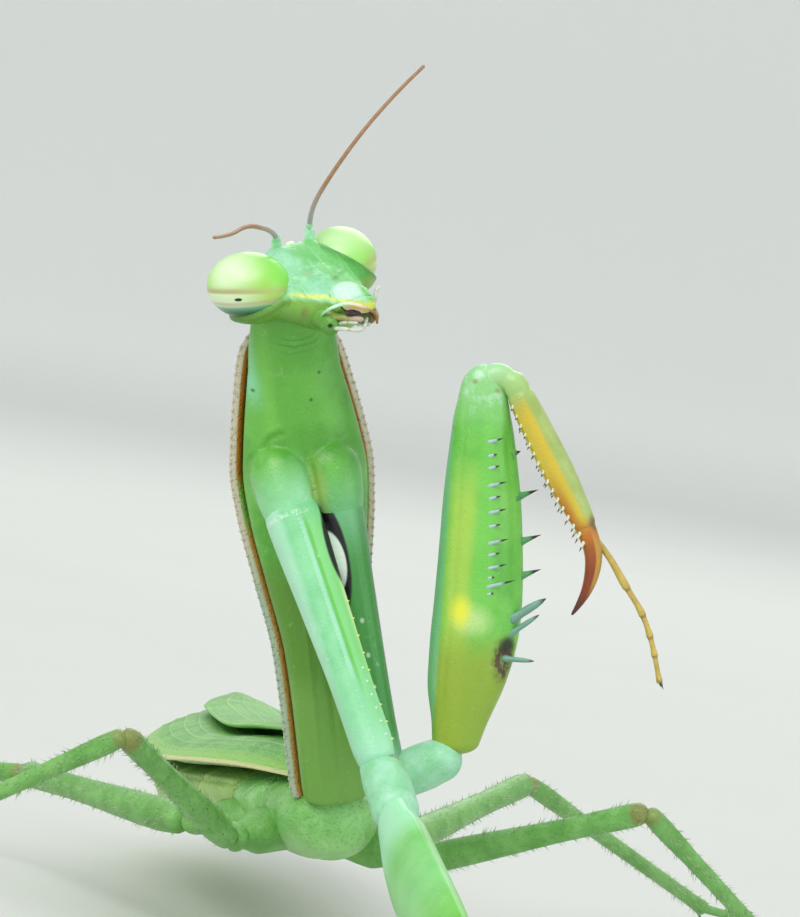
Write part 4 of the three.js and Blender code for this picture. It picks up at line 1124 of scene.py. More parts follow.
def ribbonShell(points, across):
    # a bent sheet with two walls: rows are closed loops, and both ends are zipped shut
    rows, loop = points.shape[:2]
    index = np.arange(rows * loop).reshape(rows, loop)
    right = np.roll(index, -1, 1)
    quads = np.stack([index[:-1], right[:-1], right[1:], index[1:]], -1).reshape(-1, 4)
    faces = quads[:, ::-1].tolist()
    for row, flip in ((index[0], False), (index[-1], True)):
        outer, tipRight, inner, tipLeft = row[:across], row[across], row[across + 1 : -1][::-1], row[-1]
        ends = []
        for a, b, c, d in zip(outer, outer[1:], inner[1:], inner):
            ends.append([a, b, c, d])
        ends.append([outer[-1], tipRight, inner[-1]])
        ends.append([outer[0], inner[0], tipLeft])
        faces += [[int(i) for i in (face if not flip else face[::-1])] for face in ends]
    flat = points.reshape(-1, 3)
    return {"points": flat, "place": flat.copy(), "faces": faces}


def rimDistance(points):
    wide, high = shieldHalfWidth(points[:, 2]), shieldHeight(points[:, 2])
    a = np.arctan2(np.maximum(points[:, 1] + 0.1, 0) / high, np.abs(points[:, 0]) / wide)
    inset = np.maximum(wide * np.cos(a) - np.abs(points[:, 0]), 0)
    return a * 0.5 * (wide * np.sin(a / 2) + high * np.cos(a / 2)) * 1.15 + inset


buildThroat()
buildPronotum()
print("neck, chest and pronotum built")


# ---- grasping legs ----

coxaWide = profile([0, 0.85], [0.08, 1.0], [0.3, 0.9], [0.8, 0.78], [0.95, 0.82], [1, 0.6])
coxaDeep = profile([0, 0.9], [0.1, 1.1], [0.4, 0.95], [0.75, 0.8], [0.9, 0.8], [1, 0.65])
femurWide = profile(
    [0, 0.85], [0.08, 1.1], [0.2, 1.55], [0.34, 1.72], [0.6, 1.57], [0.85, 1.15], [0.94, 0.9], [1, 0.55]
)
femurDeep = profile([0, 0.6], [0.2, 0.85], [0.4, 0.9], [0.8, 0.7], [1, 0.5])
femurBow = profile([0, 0], [0.4, 0.55], [1, 0.1])
tibiaWide = profile([0, 0.45], [0.1, 0.52], [0.3, 0.6], [0.6, 0.64], [0.85, 0.53], [1, 0.42])
tibiaDeep = profile([0, 0.5], [0.5, 0.6], [1, 0.5])


coxaLook = {
    # the angles of the bumpy ridge and of the toothed edge, the eyespot's middle, and its white part's size
    "left": {"ridge": -1.9, "edge": -0.75, "eyespot": (0.62, -0.85, 2.6), "white": (0.59, 0.6, 1.25)},
    "right": {"ridge": -3.05, "edge": 2.2, "eyespot": (-0.1, 0.9, 2.6), "white": (0.42, 0.6, 1.25)},
}


def buildCoxa(side, joint):
    length = foreLeg["coxa"]
    ridge, edge, eyespot = (coxaLook[side][word] for word in ("ridge", "edge", "eyespot"))

    def relief(s, a):
        lift = 0.05 * bell(wrapped(a - ridge), 0.1) + 0.06 * bell(wrapped(a - edge), 0.14)
        return lift * ease(s, 0.6, 1.8) * ease(s, 11.4, 10.4)

    square = 2.3  # a little boxy
    form = limb(
        length, coxaWide, coxaDeep, square=square, sides=80, along=170, ends=(0.6, 0.5), relief=relief
    )

    def row(angle, z, tall, thick, tone):
        t = z / length
        x, y = coxaWide(t) * boxy(cos(angle), square), coxaDeep(t) * boxy(sin(angle), square)
        roots = np.stack([x, y, z], -1)
        lean = np.tile((cos(angle), sin(angle), 0.25), (len(z), 1))
        made = spikes(roots, lean, tall, thick, 8, levels=(-0.5, 0, 0.3, 0.6, 0.85, 1), blunt=2)
        made["mark"] = np.full(len(made["points"]), tone)
        return made

    near, far = np.linspace(1.2, 7.4, 34), np.linspace(8.0, 10.6, 5)
    rows = [
        row(edge, np.linspace(5.0, 10.8, 9), 0.13, 0.055, 1.0),
        row(edge + 0.4, np.linspace(7.8, 10.6, 6), 0.06, 0.045, 0.5),
    ]
    if side == "right":
        rows += [row(ridge, near, 0.06, 0.055, 0.4), row(ridge, far, 0.06, 0.045, 0.5)]
    else:
        rows += [row(ridge, np.linspace(1.6, 10.2, 22), 0.05, 0.035, 0.3)]
    finish, colour, pits = cuticle("coxa_shell_" + side, "78cb8c", "8fdba4", 0.6, Roughness=0.38)
    x, y, z = finish.axes()
    if side == "left":
        colour = finish.mix(z.step(1.0, 3.0) * 0.9, "6ab07a", "3f903c")
        colour = colour.washed(x.step(-0.4, -0.9) * 0.5, "357a2c")
        for z0 in (5.2, 6.6, 7.9):
            colour = colour.washed(finish.spot((-0.15, -0.9, z0), (0.08, 0.5, 0.1), 0.5) * 0.7, "cfeccf")
    else:
        far = y.step(0.05, 0.2) * z.step(0.8, 2.0)
        colour = colour.washed(far * 0.8, "86d87e")
        bumps = y.band(-0.16, 0.02, 0.05) * z.step(0.8, 2.0) * z.step(8.5, 7.5)
        colour = colour.washed(bumps * 0.4, "bfeede")
        groove = y.band(0.04, 0.2, 0.05) * z.step(0.8, 2.0) * z.step(9.5, 8.0)
        colour = colour.washed(groove * 0.85, "62c044")
        # a pale cream line along the toothed edge: painted highlight on the ridge
        colour = colour.washed(y.step(0.62, 0.8) * z.step(3.5, 5.0) * 0.6, "e6eeb0")
        # a thin pale line along the coxa's front edge: painted rim light
        colour = colour.washed(y.step(-0.6, -0.9) * 0.5, "c9f3e0")
        colour = colour.washed(z.step(7.0, 9.0) * 0.5, "90d8a6")
        seam = finish.band(z + 0.25 * finish.noise(2.0, 3), 1.12, 1.3, 0.05) * y.step(0.5, 0.2)
        broken = finish.step(finish.noise(3.0, 3, 0.7), 0.42, 0.6)
        colour = colour.washed(seam * broken * 0.55, "e4f4ec")
    colour = colour.washed(z.step(9.5, 11.4) * 0.5, "b4ecd2")
    black = finish.spot(eyespot, (0.72, 0.8, 2.3), 0.06)
    white = finish.spot(vec(*eyespot) + (0, 0, 0.1), coxaLook[side]["white"], 0.06)
    colour = colour.washed(black, "07080a")
    colour = colour.washed(white, "dfeee0")
    colour = colour.washed(finish.step(finish.read("mark"), 0.2, 0.5), "d4f3da")
    colour = colour.washed(finish.step(finish.read("mark"), 0.6, 0.9), "e9ea7c")
    flecks = finish.step(finish.noise(3.0, 5, 0.7), 0.62, 0.75)
    colour = colour.washed(flecks * 0.35 * (1 - black), "d8f6e4")
    finish.paint(colour, bump=pits, depth=0.008)
    parts = [moved(part, joint) for part in [form] + rows]
    piece("coxa_" + side, parts, finish, [f"fore_coxa_{side}"])


def buildTrochanter(side, joint):
    aside = 0.2 if side == "right" else 0
    form = limb(
        foreLeg["trochanter"] + 0.9, profile([0, 0.72], [0.45, 0.92], [1, 0.84]),
        profile([0, 0.78], [0.45, 0.96], [1, 0.95]), bowY=profile([0, 0], [0.5, aside * 0.7], [1, aside]),
        sides=48, along=50, ends=(0.4, 0.8), relief=lambda s, a: 0.04 * np.cos(2 * a) * bell(s - 2.2, 0.6),
    )
    finish, colour, pits = cuticle("trochanter_shell_" + side, "86cf98", "a6e0be", 1.0)
    colour = colour.washed(finish.spot((-0.85, 0.5, 0.55), (0.5, 0.5, 0.16), 0.5) * 0.7, "7a5a34")
    finish.paint(colour, bump=pits)
    piece("trochanter_" + side, moved(form, joint), finish, [f"fore_trochanter_{side}"])


femurSpines = {
    # places along the femur, and each spine's length
    "inner": {
        "z": (12.56, 12.0, 11.52, 10.83, 10.32, 9.76, 9.21, 8.55, 8.08, 7.56, 7.17, 6.83, 6.53),
        "tall": (0.62, 0.33, 0.44, 0.72, 0.47, 0.72, 0.47, 0.82, 0.47, 0.77, 0.24, 1.2, 0.24),
        "share": 0.21, "front": -0.95, "lean": (1, -0.45, 0.36),
    },
    "outer": {"z": (7.23, 8.6, 10.4, 12.1), "tall": (1.05, 1.05, 1.0, 0.4)},
    "discoidal": {
        "z": (3.99, 5.03, 5.63), "tall": (1.15, 1.35, 1.55), "thick": (0.105, 0.11, 0.17),
        "lean": ((1.1, -0.3, 0.0), (1.04, -0.22, 0.82), (1.3, -0.28, 0.94)),
    },
}


def buildFemur(side, handed, joint):
    length = foreLeg["femur"] + foreLeg["kneeCap"]

    def relief(s, a):
        inward = wrapped(a * handed)  # 0 is the spined edge, -pi/2 the inner face
        groove = -0.1 * bell(inward + 0.55, 0.3) * ease(s, 5.8, 6.6) * ease(s, 13.6, 12.6)
        rails = bell(inward + 1.32, 0.12) + bell(inward - 0.1, 0.16)
        rails = 0.05 * rails * ease(s, 2.5, 4) * ease(s, 14, 12.8)
        keel = 0.05 * bell(np.abs(inward) - pi, 0.12) * ease(s, 1, 2.5) * ease(s, 14.3, 13.2)
        line = -0.04 * bell(inward + 2.25, 0.08) * ease(s, 1.2, 2.5) * ease(s, 14, 12.6)
        pit = -0.2 * bell(inward + 0.62, 0.3) * bell(s - 4.3, 0.5)
        return groove + rails + keel + line + pit

    start = 0.12 if side == "right" else 0
    wide = lambda t: femurWide(t) + start * ease(t, 0.14, 0.04)
    form = limb(length, wide, femurDeep, femurBow, sides=96, along=190, ends=(0.45, 0.65), relief=relief)

    def roots(z, share, front):
        t = np.asarray(z, float) / length
        return np.stack([femurBow(t) + femurWide(t) * share, handed * front * femurDeep(t), t * length], -1)

    def row(z, share, front, lean, tall, thick, mark, blunt):
        lean = np.broadcast_to(np.asarray(lean, float), (len(z), 3)) * (1, handed, 1)
        made = spikes(roots(z, share, front), lean, tall, thick, 12, blunt=blunt)
        made["mark"] = np.full(len(made["points"]), mark)
        return moved(made, joint)

    inner, outer, claws = (femurSpines[word] for word in ("inner", "outer", "discoidal"))
    rows = [
        row(inner["z"], inner["share"], inner["front"], inner["lean"], inner["tall"], 0.075, 1.0, 2.0),
        row(outer["z"], 0.88, 0.05, (1, 0.1, 0.4), outer["tall"], 0.23, 0.5, 0.85),
        row(claws["z"], 0.84, -0.45, claws["lean"], claws["tall"], claws["thick"], 0.75, 5),
    ]
    finish, colour, pits = cuticle(
        "femur_shell_" + side, "5fba40", "7bcb56", 0.55, Roughness=0.36, Coat_Weight=0.2
    )
    x, y, z = finish.axes()
    y = y * handed
    face = y.step(0.1, -0.3)
    lime = x.band(-0.8, 0.15, 0.3) * face * z.step(12.6, 9.5)
    colour = colour.washed(lime * 0.7, "b4d24c")
    mid = x.band(0.25, 1.1, 0.2) * face * z.step(5.0, 7.0)
    colour = colour.washed(mid * 0.5, "78cf54")
    colour = colour.washed(z.step(5.4, 3.6) * face * 0.85, "93a92f")
    if side == "right":
        colour = colour.washed(z.step(5.0, 2.5) * 0.9, "a9ecc2")
        colour = colour.washed(z.step(0.5, 8.0) * z.step(12.0, 8.0) * 0.4, "9ae0a4")
    else:
        colour = colour.washed(x.step(-0.84, -0.96) * z.step(14.6, 13.4) * 0.9, "7cc08a")
    knee = z.step(12.4, 15.4)
    colour = colour.washed(knee * 0.6, "a6dba4")
    # pale streaks over the knee: painted highlights
    highlightStreaks = finish.step(finish.noise(1.6, 4, 0.7), 0.45, 0.65) * z.step(13.2, 14.4)
    colour = colour.washed(highlightStreaks * 0.5, "cdeedd")
    for x0, z0 in ((-0.2, 14.9), (0.7, 14.6), (-0.95, 13.0)):
        colour = colour.washed(finish.spot((x0, -0.55, z0), (0.1, 0.5, 0.08), 0.7) * 0.6, "9a7560")
    if side == "left":
        patch = finish.spot((0.35, -0.88, 5.45), (0.6, 1.2, 0.5), 0.8)
        patch = patch * (0.4 + finish.noise(1.6, 4, 0.6) * 0.6)
        colour = colour.washed(patch * 0.8, "dff2a8")
        colour = colour.washed(finish.spot((-0.15, -0.82, 5.77), (0.34, 1.2, 0.52), 0.8), "e8e93c")
        shade = finish.spot((1.7, -0.55, 3.9), (0.4, 0.7, 0.75), 0.6)
        mottle = 0.5 + finish.step(finish.noise(4.0, 4, 0.7), 0.4, 0.6)
        colour = colour.washed(finish.sum("MINIMUM", shade * mottle, 1.0), "4d3a1a")
        notch = finish.spot((1.83, -0.45, 4.5), (0.3, 0.5, 0.36), 0.5)
        colour = colour.washed(notch * 0.9, "17120a")
    thorn = finish.read("mark")
    stout = finish.mix(thorn.step(0.55, 0.7), "4f9a5c", "6f9f8c")
    spike = finish.mix(thorn.step(0.8, 0.95), stout, "a9c6c8")
    colour = colour.washed(thorn.step(0.2, 0.4), spike)
    tip = finish.read("tip")
    rod = thorn.band(0.65, 0.85, 0.05)
    colour = colour.washed(finish.step(tip - rod * 0.28, 0.45, 0.68), "2c1a12")
    flecks = finish.step(finish.noise(3.5, 5, 0.7), 0.63, 0.76)
    colour = colour.washed(flecks * 0.3 * tip.step(0.1, 0.0), "d8f6e4")
    finish.paint(colour, bump=pits, depth=0.008)
    piece("femur_" + side, [moved(form, joint)] + rows, finish, [f"fore_femur_{side}"])


def kneeBridge(side, joint):
    # the bent end of the femur, over to the root of the tibia, in the tibia's own frame
    leg = grasp[side]
    root = joint.out(vec(0, 0, 0))
    knee = root - vec(*leg["bend"])
    middle = knee + vec(*leg["bend"]) * 0.55 - (0, 0, 0.04)
    path = Path(*joint.into([knee - heading(*leg["femur"]) * 0.6, middle, root + (0.2, 0, -0.4)]))
    return sweep(path, level(0.5), level(0.48), up=(0, 1, 0), sides=36, along=30, ends=(0.3, 0.35))


def buildTibia(side, handed, joint):
    length = foreLeg["tibia"]

    def relief(s, a):
        return 0.04 * bell(np.abs(wrapped(a)) - 0.55, 0.15) - 0.05 * bell(s - 0.9, 0.12)

    shaft = limb(length, tibiaWide, tibiaDeep, sides=64, along=100, ends=(0.4, 0.4), relief=relief)
    rises = ((0, -0.5), (0.14, 0.56), (0.32, 1.05), (0.66, 1.56), (1.11, 2.02), (1.63, 2.38), (2.08, 2.63))
    path = Path(*((x, 0, length + z) for x, z in rises))
    hook = sweep(
        path, profile([0, 0.42], [0.5, 0.33], [0.85, 0.15], [1, 0.05]),
        profile([0, 0.42], [0.45, 0.33], [0.8, 0.17], [1, 0.05]),
        up=(-1, 0, 0.6), sides=40, along=70, ends=(0.3, 0.12),
    )
    hook["tip"] = hook["place"][:, 2] / path.length
    across = hook["place"][:, 1].copy()
    hook["place"] = hook["points"].copy()

    def row(z, front, lean, low, high, thick):
        t = np.minimum(z / length, 1)
        lower = 0.2 * np.maximum(z - length, 0)
        roots = np.stack([tibiaWide(t) * 0.82 + lower, handed * front * tibiaDeep(t), z], -1)
        size = np.linspace(low, high, len(z)) * np.where(np.arange(len(z)) % 2, 0.8, 1)
        made = spikes(roots, np.tile(lean, (len(z), 1)) * (1, handed, 1), size, thick, 12, blunt=1.8)
        made["mark"] = np.ones(len(made["points"]))
        return moved(made, joint)

    rows = [
        row(np.linspace(1.3, 7.4, 16), -0.5, (1, -0.35, 0.75), 0.26, 0.5, 0.06),
        row(np.linspace(2.2, 6.8, 9), 0.5, (1, 0.35, 0.6), 0.26, 0.4, 0.06),
    ]
    shank = oneSkin([shaft, kneeBridge(side, joint)], 0.055, 14)[0]
    hook["mark"] = 0.42 + 0.16 * ease(across, 0.02, 0.16)
    finish, colour, pits = cuticle(
        "tibia_shell_" + side, "97b058", "abc070", 0.8, Roughness=0.34, Coat_Weight=0.3
    )
    x, z = finish.axes()[::2]
    gold = x.step(-0.2, 0.05) * z.step(0.6, 2.0)
    colour = colour.washed(gold * 0.9, "d6b82c")
    inner = x.step(0.0, 0.45)
    orange = finish.mix(inner, z.step(6.3, 7.2), z.step(3.8, 6.2))
    colour = colour.washed(orange, "bf7418")
    colour = colour.washed(z.step(1.6, 0.4) * 0.85, "a6d080")
    colour = colour.washed(z.step(0.6, -0.5) * 0.85, "a4dba2")
    colour = colour.washed(finish.spot((-0.35, -0.3, 6.9), (0.22, 0.5, 0.3), 0.6) * 0.75, "5a4a1c")
    tip, thorn = finish.read("tip"), finish.read("mark")
    claw = thorn.step(0.2, 0.4) * thorn.step(0.8, 0.6)
    brown = finish.mix(tip.step(0.2, 0.6), "a5561a", "85350f")
    brown = finish.mix(thorn.step(0.44, 0.56) * tip.step(0.85, 0.6), brown, "b98a2c")
    colour = colour.washed(claw * tip.step(0.1, 0.3), brown)
    colour = colour.washed(claw * tip.step(0.65, 0.98), "46180c")
    spike = finish.mix(tip.step(0.35, 0.7), "e0dcc0", "3a2012")
    colour = colour.washed(thorn.step(0.7, 0.9), spike)
    finish.paint(colour, bump=pits, depth=0.008)
    parts = [moved(shank, joint), moved(hook, joint)] + rows
    piece("tibia_" + side, parts, finish, [f"fore_tibia_{side}"])


def footForms(path, root, tip):
    # five foot joints, each swelling to its far end, and a pair of claws
    shares = np.array([0, 0.42, 0.6, 0.73, 0.84, 1.0])
    place = lambda t: np.clip(np.searchsorted(shares, t, "right") - 1, 0, 4)

    def thick(t):
        t = np.clip(np.asarray(t, float), 0, 0.999999)
        i = place(t)
        within = (t - shares[i]) / (shares[i + 1] - shares[i])
        swell = 0.86 + 0.3 * ease(within, 0.45, 0.95) - 0.3 * ease(within, 0.96, 1.0)
        return (root + (tip - root) * t) * swell

    up = (0.02, 0.01, 1)
    form = sweep(path, thick, thick, up=up, sides=24, along=150, ends=(0.12, 0.1))
    share = form["place"][:, 2] / path.length
    form["mark"] = np.max([bell(share - s, 0.012) for s in shares[1:5]], 0)
    spot, tangent = path.at(np.array([0.965]))
    side = unit(np.cross(tangent[0], up))
    claws = []
    for s in (1, -1):
        lean = unit(tangent[0] + s * 0.75 * side + (0, 0, 0.25))
        claws.append(spikes(spot + s * side * 0.08, [lean], 0.62, 0.085, 10))
    return [form] + claws


def flatFooted(forms):
    for form in forms:
        form["points"][:, 2] = np.maximum(form["points"][:, 2], 0.0)
    return forms


def buildForeFoot(side, places):
    finish, colour, pits = cuticle("fore_foot_shell_" + side, "b49a48", "d0b65a", 1.5, Roughness=0.4)
    colour = colour.washed(finish.step(finish.read("mark"), 0.3, 0.9) * 0.6, "7f6a2a")
    colour = colour.washed(finish.step(finish.read("tip"), 0.1, 0.6), "3a2414")
    finish.paint(colour, bump=pits, depth=0.012)
    forms = flatFooted(footForms(Path(*places), *grasp[side]["foot"]))
    piece("fore_foot_" + side, forms, finish, [f"fore_tarsus_{side}"])


for side, handed in (("left", 1), ("right", -1)):
    leg = grasp[side]
    shoulder = vec(*leg["shoulder"])
    tip = shoulder + heading(*leg["coxa"]) * foreLeg["coxa"]
    elbow = tip + heading(*leg["trochanter"]) * foreLeg["trochanter"]
    knee = elbow + heading(*leg["femur"]) * foreLeg["femur"]
    buildCoxa(side, graspJoint(side, "coxa", shoulder))
    buildTrochanter(side, graspJoint(side, "trochanter", tip - heading(*leg["trochanter"]) * 0.6))
    buildFemur(side, handed, graspJoint(side, "femur", elbow))
    buildTibia(side, handed, graspJoint(side, "tibia", knee + leg["bend"]))
    shankEnd = knee + leg["bend"] + heading(*leg["tibia"]) * (foreLeg["tibia"] - 0.15)
    buildForeFoot(side, [shankEnd, *leg["toes"]] if side == "left" else leg["toes"])
print("grasping legs built")


# ---- middle and hind body ----

body = {"gap": 0.12, "start": -0.9, "meso": 4.2, "meta": 8.4, "abdomen": 28.0, "rings": 6}
bodyLevel = profile([-1, 7.2], [8, 6.6], [22, 5.1], [38, 4.7])
bodyHalfWidth = profile(
    [-0.9, 1.3], [0.5, 2.0], [4, 2.4], [8, 2.7], [14, 3.6], [22, 4.3], [29, 3.9], [34, 2.6], [37, 1.1]
)
bodyUnder = profile(
    [-0.9, 1.2], [0.5, 1.8], [4, 2.0], [8, 1.9], [14, 2.1], [22, 2.3], [29, 2.0], [34, 1.4], [37, 0.7]
)
bodyCrown = profile([-0.9, 1.2], [0.5, 1.5], [8, 1.3], [22, 1.3], [29, 1.2], [34, 1.0], [37, 0.6])


def sway(y):
    return 2.4 * (np.maximum(np.asarray(y, float) - 6, 0) / 32) ** 2


def bodyPath(start, end):
    return Path(*[vec(float(sway(y)), y, float(bodyLevel(y))) for y in np.linspace(start, end, 4)])


def bodyTube(start, end, ends, relief, along=44):
    at = lambda size: lambda t: size(start + t * (end - start))
    form = sweep(
        bodyPath(start, end), at(bodyHalfWidth), at(bodyUnder), at(bodyCrown),
        sides=96, along=along, ends=ends, relief=relief,
    )
    form["place"] = form["place"] + (0, 0, start)
    return form


def buildThorax():
    def plates(s, a):
        # seams on the flanks, a keel above and a groove below
        flank = bell(np.abs(np.cos(a)) - 0.85, 0.3)
        seam = -0.07 * bell(np.sin(1.6 * s + 2.2 * np.sin(a)), 0.16) * flank
        keel = 0.06 * bell(np.cos(a), 0.08) * (np.sin(a) > 0)
        return seam + keel - 0.08 * bell(np.cos(a), 0.06) * (np.sin(a) < 0)

    for name, start, end in (
        ("mesothorax", body["start"], body["meso"]),
        ("metathorax", body["meso"] + body["gap"], body["meta"]),
    ):
        finish, colour, pits = cuticle(name + "_shell", "6aab4a", "8fcf7a", 0.5)
        y = finish.axes()[1]
        colour = colour.washed(y.step(-0.4, -1.6) * 0.6, "a7d88f")
        finish.paint(colour, bump=pits, depth=0.03)
        piece(name + "_plates", bodyTube(start, end, (0.5, 0.4), plates), finish, [name])


def buildAbdomen():
    span = body["abdomen"] / body["rings"]
    for i in range(body["rings"]):
        start = body["meta"] + body["gap"] + i * span

        def plates(s, a, span=span):
            overlap = 0.09 * ease(s, span * 0.72, span * 0.9) * ease(s, span, span * 0.97)
            seam = -0.12 * bell(np.abs(np.cos(a)) - 0.97, 0.05) * (np.abs(np.sin(a)) < 0.35)
            keel = 0.05 * bell(np.cos(a), 0.06)
            pleat = -0.05 * bell(s - span * 0.12, 0.14)
            return overlap + seam + keel + pleat

        finish, colour, pits = cuticle(f"belly_shell_{i + 1}", "93c057", "b2d77c", 0.45)
        y, z = finish.axes()[1:]
        colour = colour.washed(y.step(0.2, 0.9) * 0.7, "7fae4a")
        edge = z.step(start + span * 0.8, start + span * 0.95)
        colour = colour.washed(edge * 0.5, "d7dc9a")
        speck = finish.step(finish.cells(2.4), 0.16, 0.06)
        colour = colour.washed(speck * 0.35, "6c8f3a")
        finish.paint(colour, bump=pits, depth=0.03)
        form = bodyTube(start, start + span - body["gap"], (0.28, 0.2), plates, 30)
        piece(f"abdomen_ring_{i + 1}", form, finish, [f"abdomen_{i + 1}"])


tailParts = {
    "cercus": {"roots": [(1.9, 1.1, 34.6, 4.9), (2.1, 1.9, 36.4, 4.8), (2.3, 2.5, 38.25, 4.5)], "joints": 12},
    "plate": [(1.9, 34.6, 3.7), (2.1, 36.6, 3.8), (2.25, 37.9, 4.3)],
}


def buildTail():
    finish, colour, pits = cuticle("cercus_shell", "8fb65c", "b5cf86", 1.5)
    colour = colour.washed(finish.step(finish.read("mark"), 0.2, 0.9) * 0.5, "6d7f3c")
    finish.paint(colour, bump=pits)
    for s, word in ((1, "left"), (-1, "right")):
        path = Path(*[vec(middle + s * out, y, z) for middle, out, y, z in tailParts["cercus"]["roots"]])
        count = tailParts["cercus"]["joints"]
        bead = lambda t: 0.86 + 0.14 * np.abs(np.sin(pi * count * np.asarray(t)))
        size = profile([0, 0.35], [0.5, 0.38], [1, 0.16])
        thick = lambda t: size(t) * bead(t)
        form = sweep(path, thick, thick, sides=24, along=count * 8, ends=(0.15, 0.2))
        form["mark"] = 1 - np.abs(np.sin(pi * count * form["place"][:, 2] / path.length))
        piece(f"cercus_{word}_beaded", form, finish, ["cercus_" + word])
    plate = sweep(
        Path(*tailParts["plate"]),
        profile([0, 1.2], [0.5, 0.95], [1, 0.35]), profile([0, 0.5], [0.5, 0.5], [1, 0.3]),
        sides=48, along=50, ends=(0.3, 0.25),
        relief=lambda s, a: -0.06 * bell(np.cos(a), 0.08) * (np.sin(a) < 0),
    )
    finish, colour, pits = cuticle("tail_plate_shell", "93c057", "b2d77c", 0.8)
    finish.paint(colour, bump=pits)
    piece("tail_plate", plate, finish, ["subgenital_plate"])


buildThorax()
buildAbdomen()
buildTail()
print("thorax and abdomen built")


# ---- wings ----

wing = {"root": wingStart, "length": 37.4, "shell": 0.3, "layer": 0.62, "veins": 9, "crowding": 1.25}
spread = profile([1.4, 1.6], [6, 2.9], [14.4, 4.3], [23.6, 4.9], [32.5, 4.1], [36.6, 2.4], [38.9, 1.0])
crossing = profile([1.4, 0.1], [8, 0.8], [30, 1], [38.9, 0.1])
wingDome = profile([1.4, 1.92], [6, 1.8], [10, 1.64], [24, 1.52], [39, 1.35])


def wingForm(side, across, rise, reach, settle):
    cols, rows = 80, 260
    u = (0.5 - 0.5 * np.cos(np.linspace(0, pi, cols)))[None, :]
    v = np.linspace(0.004, 0.995, rows)[:, None]
    y = wing["root"] + v * wing["length"]
    inner = -across * crossing(y)
    x = inner + (spread(y) * reach - inner) * u
    droop = 1.4 * np.abs(x / spread(y)) ** 2.4 + settle * wing["layer"] * np.maximum(u - 0.6, 0) * 2.5
    base = bodyLevel(y) + wingDome(y) + rise - droop
    # main veins run the length of the wing and stand up as fine ribs
    lanes = 0.5 + 0.5 * np.cos(2 * pi * wing["veins"] * u ** wing["crowding"])
    ribs = 0.05 * lanes**10 * ease(v, 0, 0.05) * ease(v, 1, 0.9)
    stay = np.sqrt(np.clip(1 - (2 * u - 1) ** 14, 0, 1))
    half = wing["shell"] / 2 * stay * (0.35 + 0.65 * ease(np.minimum(v, 1 - v), 0, 0.02))
    middle = base + 0.25
    top, under = middle + half + ribs, middle - half + ribs * 0.3
    wall = lambda z: np.stack(np.broadcast_arrays(side * x + sway(y), y, z), -1)
    outer, lower = wall(top), wall(under)
    lip = 0.5 * (outer + lower)
    ends = [lip[:, -1:] + (side * 0.03, 0, 0), lip[:, :1] - (side * 0.03, 0, 0)]
    loop = np.concatenate([outer, ends[0], lower[:, ::-1], ends[1]], 1)
    form = ribbonShell(loop, cols)
    if side < 0:
        form["faces"] = [face[::-1] for face in form["faces"]]
    share = np.concatenate([u.ravel(), [1], u.ravel()[::-1], [0]])
    flat = np.stack(np.broadcast_arrays(share[None, :] * 10, v * 10, v * wing["length"]), -1)
    form["place"] = flat.reshape(-1, 3)
    return form


def buildWings():
    layer = wing["layer"]
    plans = {
        "hindwing_left": (1, -0.08, 0, 0.78, 0), "hindwing_right": (-1, -0.08, 0, 0.78, 0),
        "tegmen_right": (-1, 1.9, layer, 1, 0), "tegmen_left": (1, 1.9, 2 * layer, 1, 1),
    }
    for name, (side, across, rise, reach, settle) in plans.items():
        fore = name.startswith("tegmen")
        tones = ("4f9a33", "71b94f") if fore else ("93bf6f", "b4d498")
        finish, colour, pits = cuticle(name + "_web", *tones, grain=0.35, Roughness=0.46)
        x, z = finish.axes()[::2]
        flat = finish.node("ShaderNodeCombineXYZ", inputs={0: x * 0.45, 1: z * 0.22, 2: 0.0})
        web = finish.cells(5.5, "DISTANCE_TO_EDGE", flat)
        lace = web.step(0.1, 0.02)
        lanes = finish.sum("COSINE", (x / 10) ** wing["crowding"] * (2 * pi * wing["veins"]))
        vein = lanes.step(0.9, 0.99)
        colour = colour.washed(lace * 0.45, "8ccf6a")
        colour = colour.washed(vein * 0.6, "9fd97c")
        if fore:
            colour = colour.washed(x.step(8.6, 9.5), "8fc65c")
            colour = colour.washed(x.step(9.75, 9.93), "d9d79a")
        finish.paint(colour, bump=lace * 0.8 + vein + pits * 0.25, depth=0.03)
        piece(name + "_veined", wingForm(side, across, rise, reach, settle), finish, [name])


buildWings()
print("wings built")


# ---- walking legs ----

walking = {
    "mid": {
        "hip": 3.2, "femur": 11.2, "tibia": 12.4, "tarsus": 7, "thigh": 0.62, "shin": 0.36,
        "left": ((1.2, 3, 6.2), (60, -12), (48, 22), (118, -33)),
        "right": ((-1.2, 3, 6.2), (-60, -12), (-37.4, 24.3), (-120.5, -33)),
    },
    "hind": {
        "hip": 3.8, "femur": 15.2, "tibia": 17, "tarsus": 8.4, "thigh": 0.7, "shin": 0.38,
        "left": ((1.3, 7, 5.7), (120, -10), (145, 8), (130, -21)),
        "right": ((-1.3, 7, 5.7), (-120, -10), (-161, -2.5), (-136, -11)),
    },
}
hairRows = {"perMm": 26, "tall": (0.22, 0.42), "thick": 0.016, "strips": 24, "patch": 0.0015}
hairs = []  # every hair's root, lean and size, and its place on the legs' unwrap


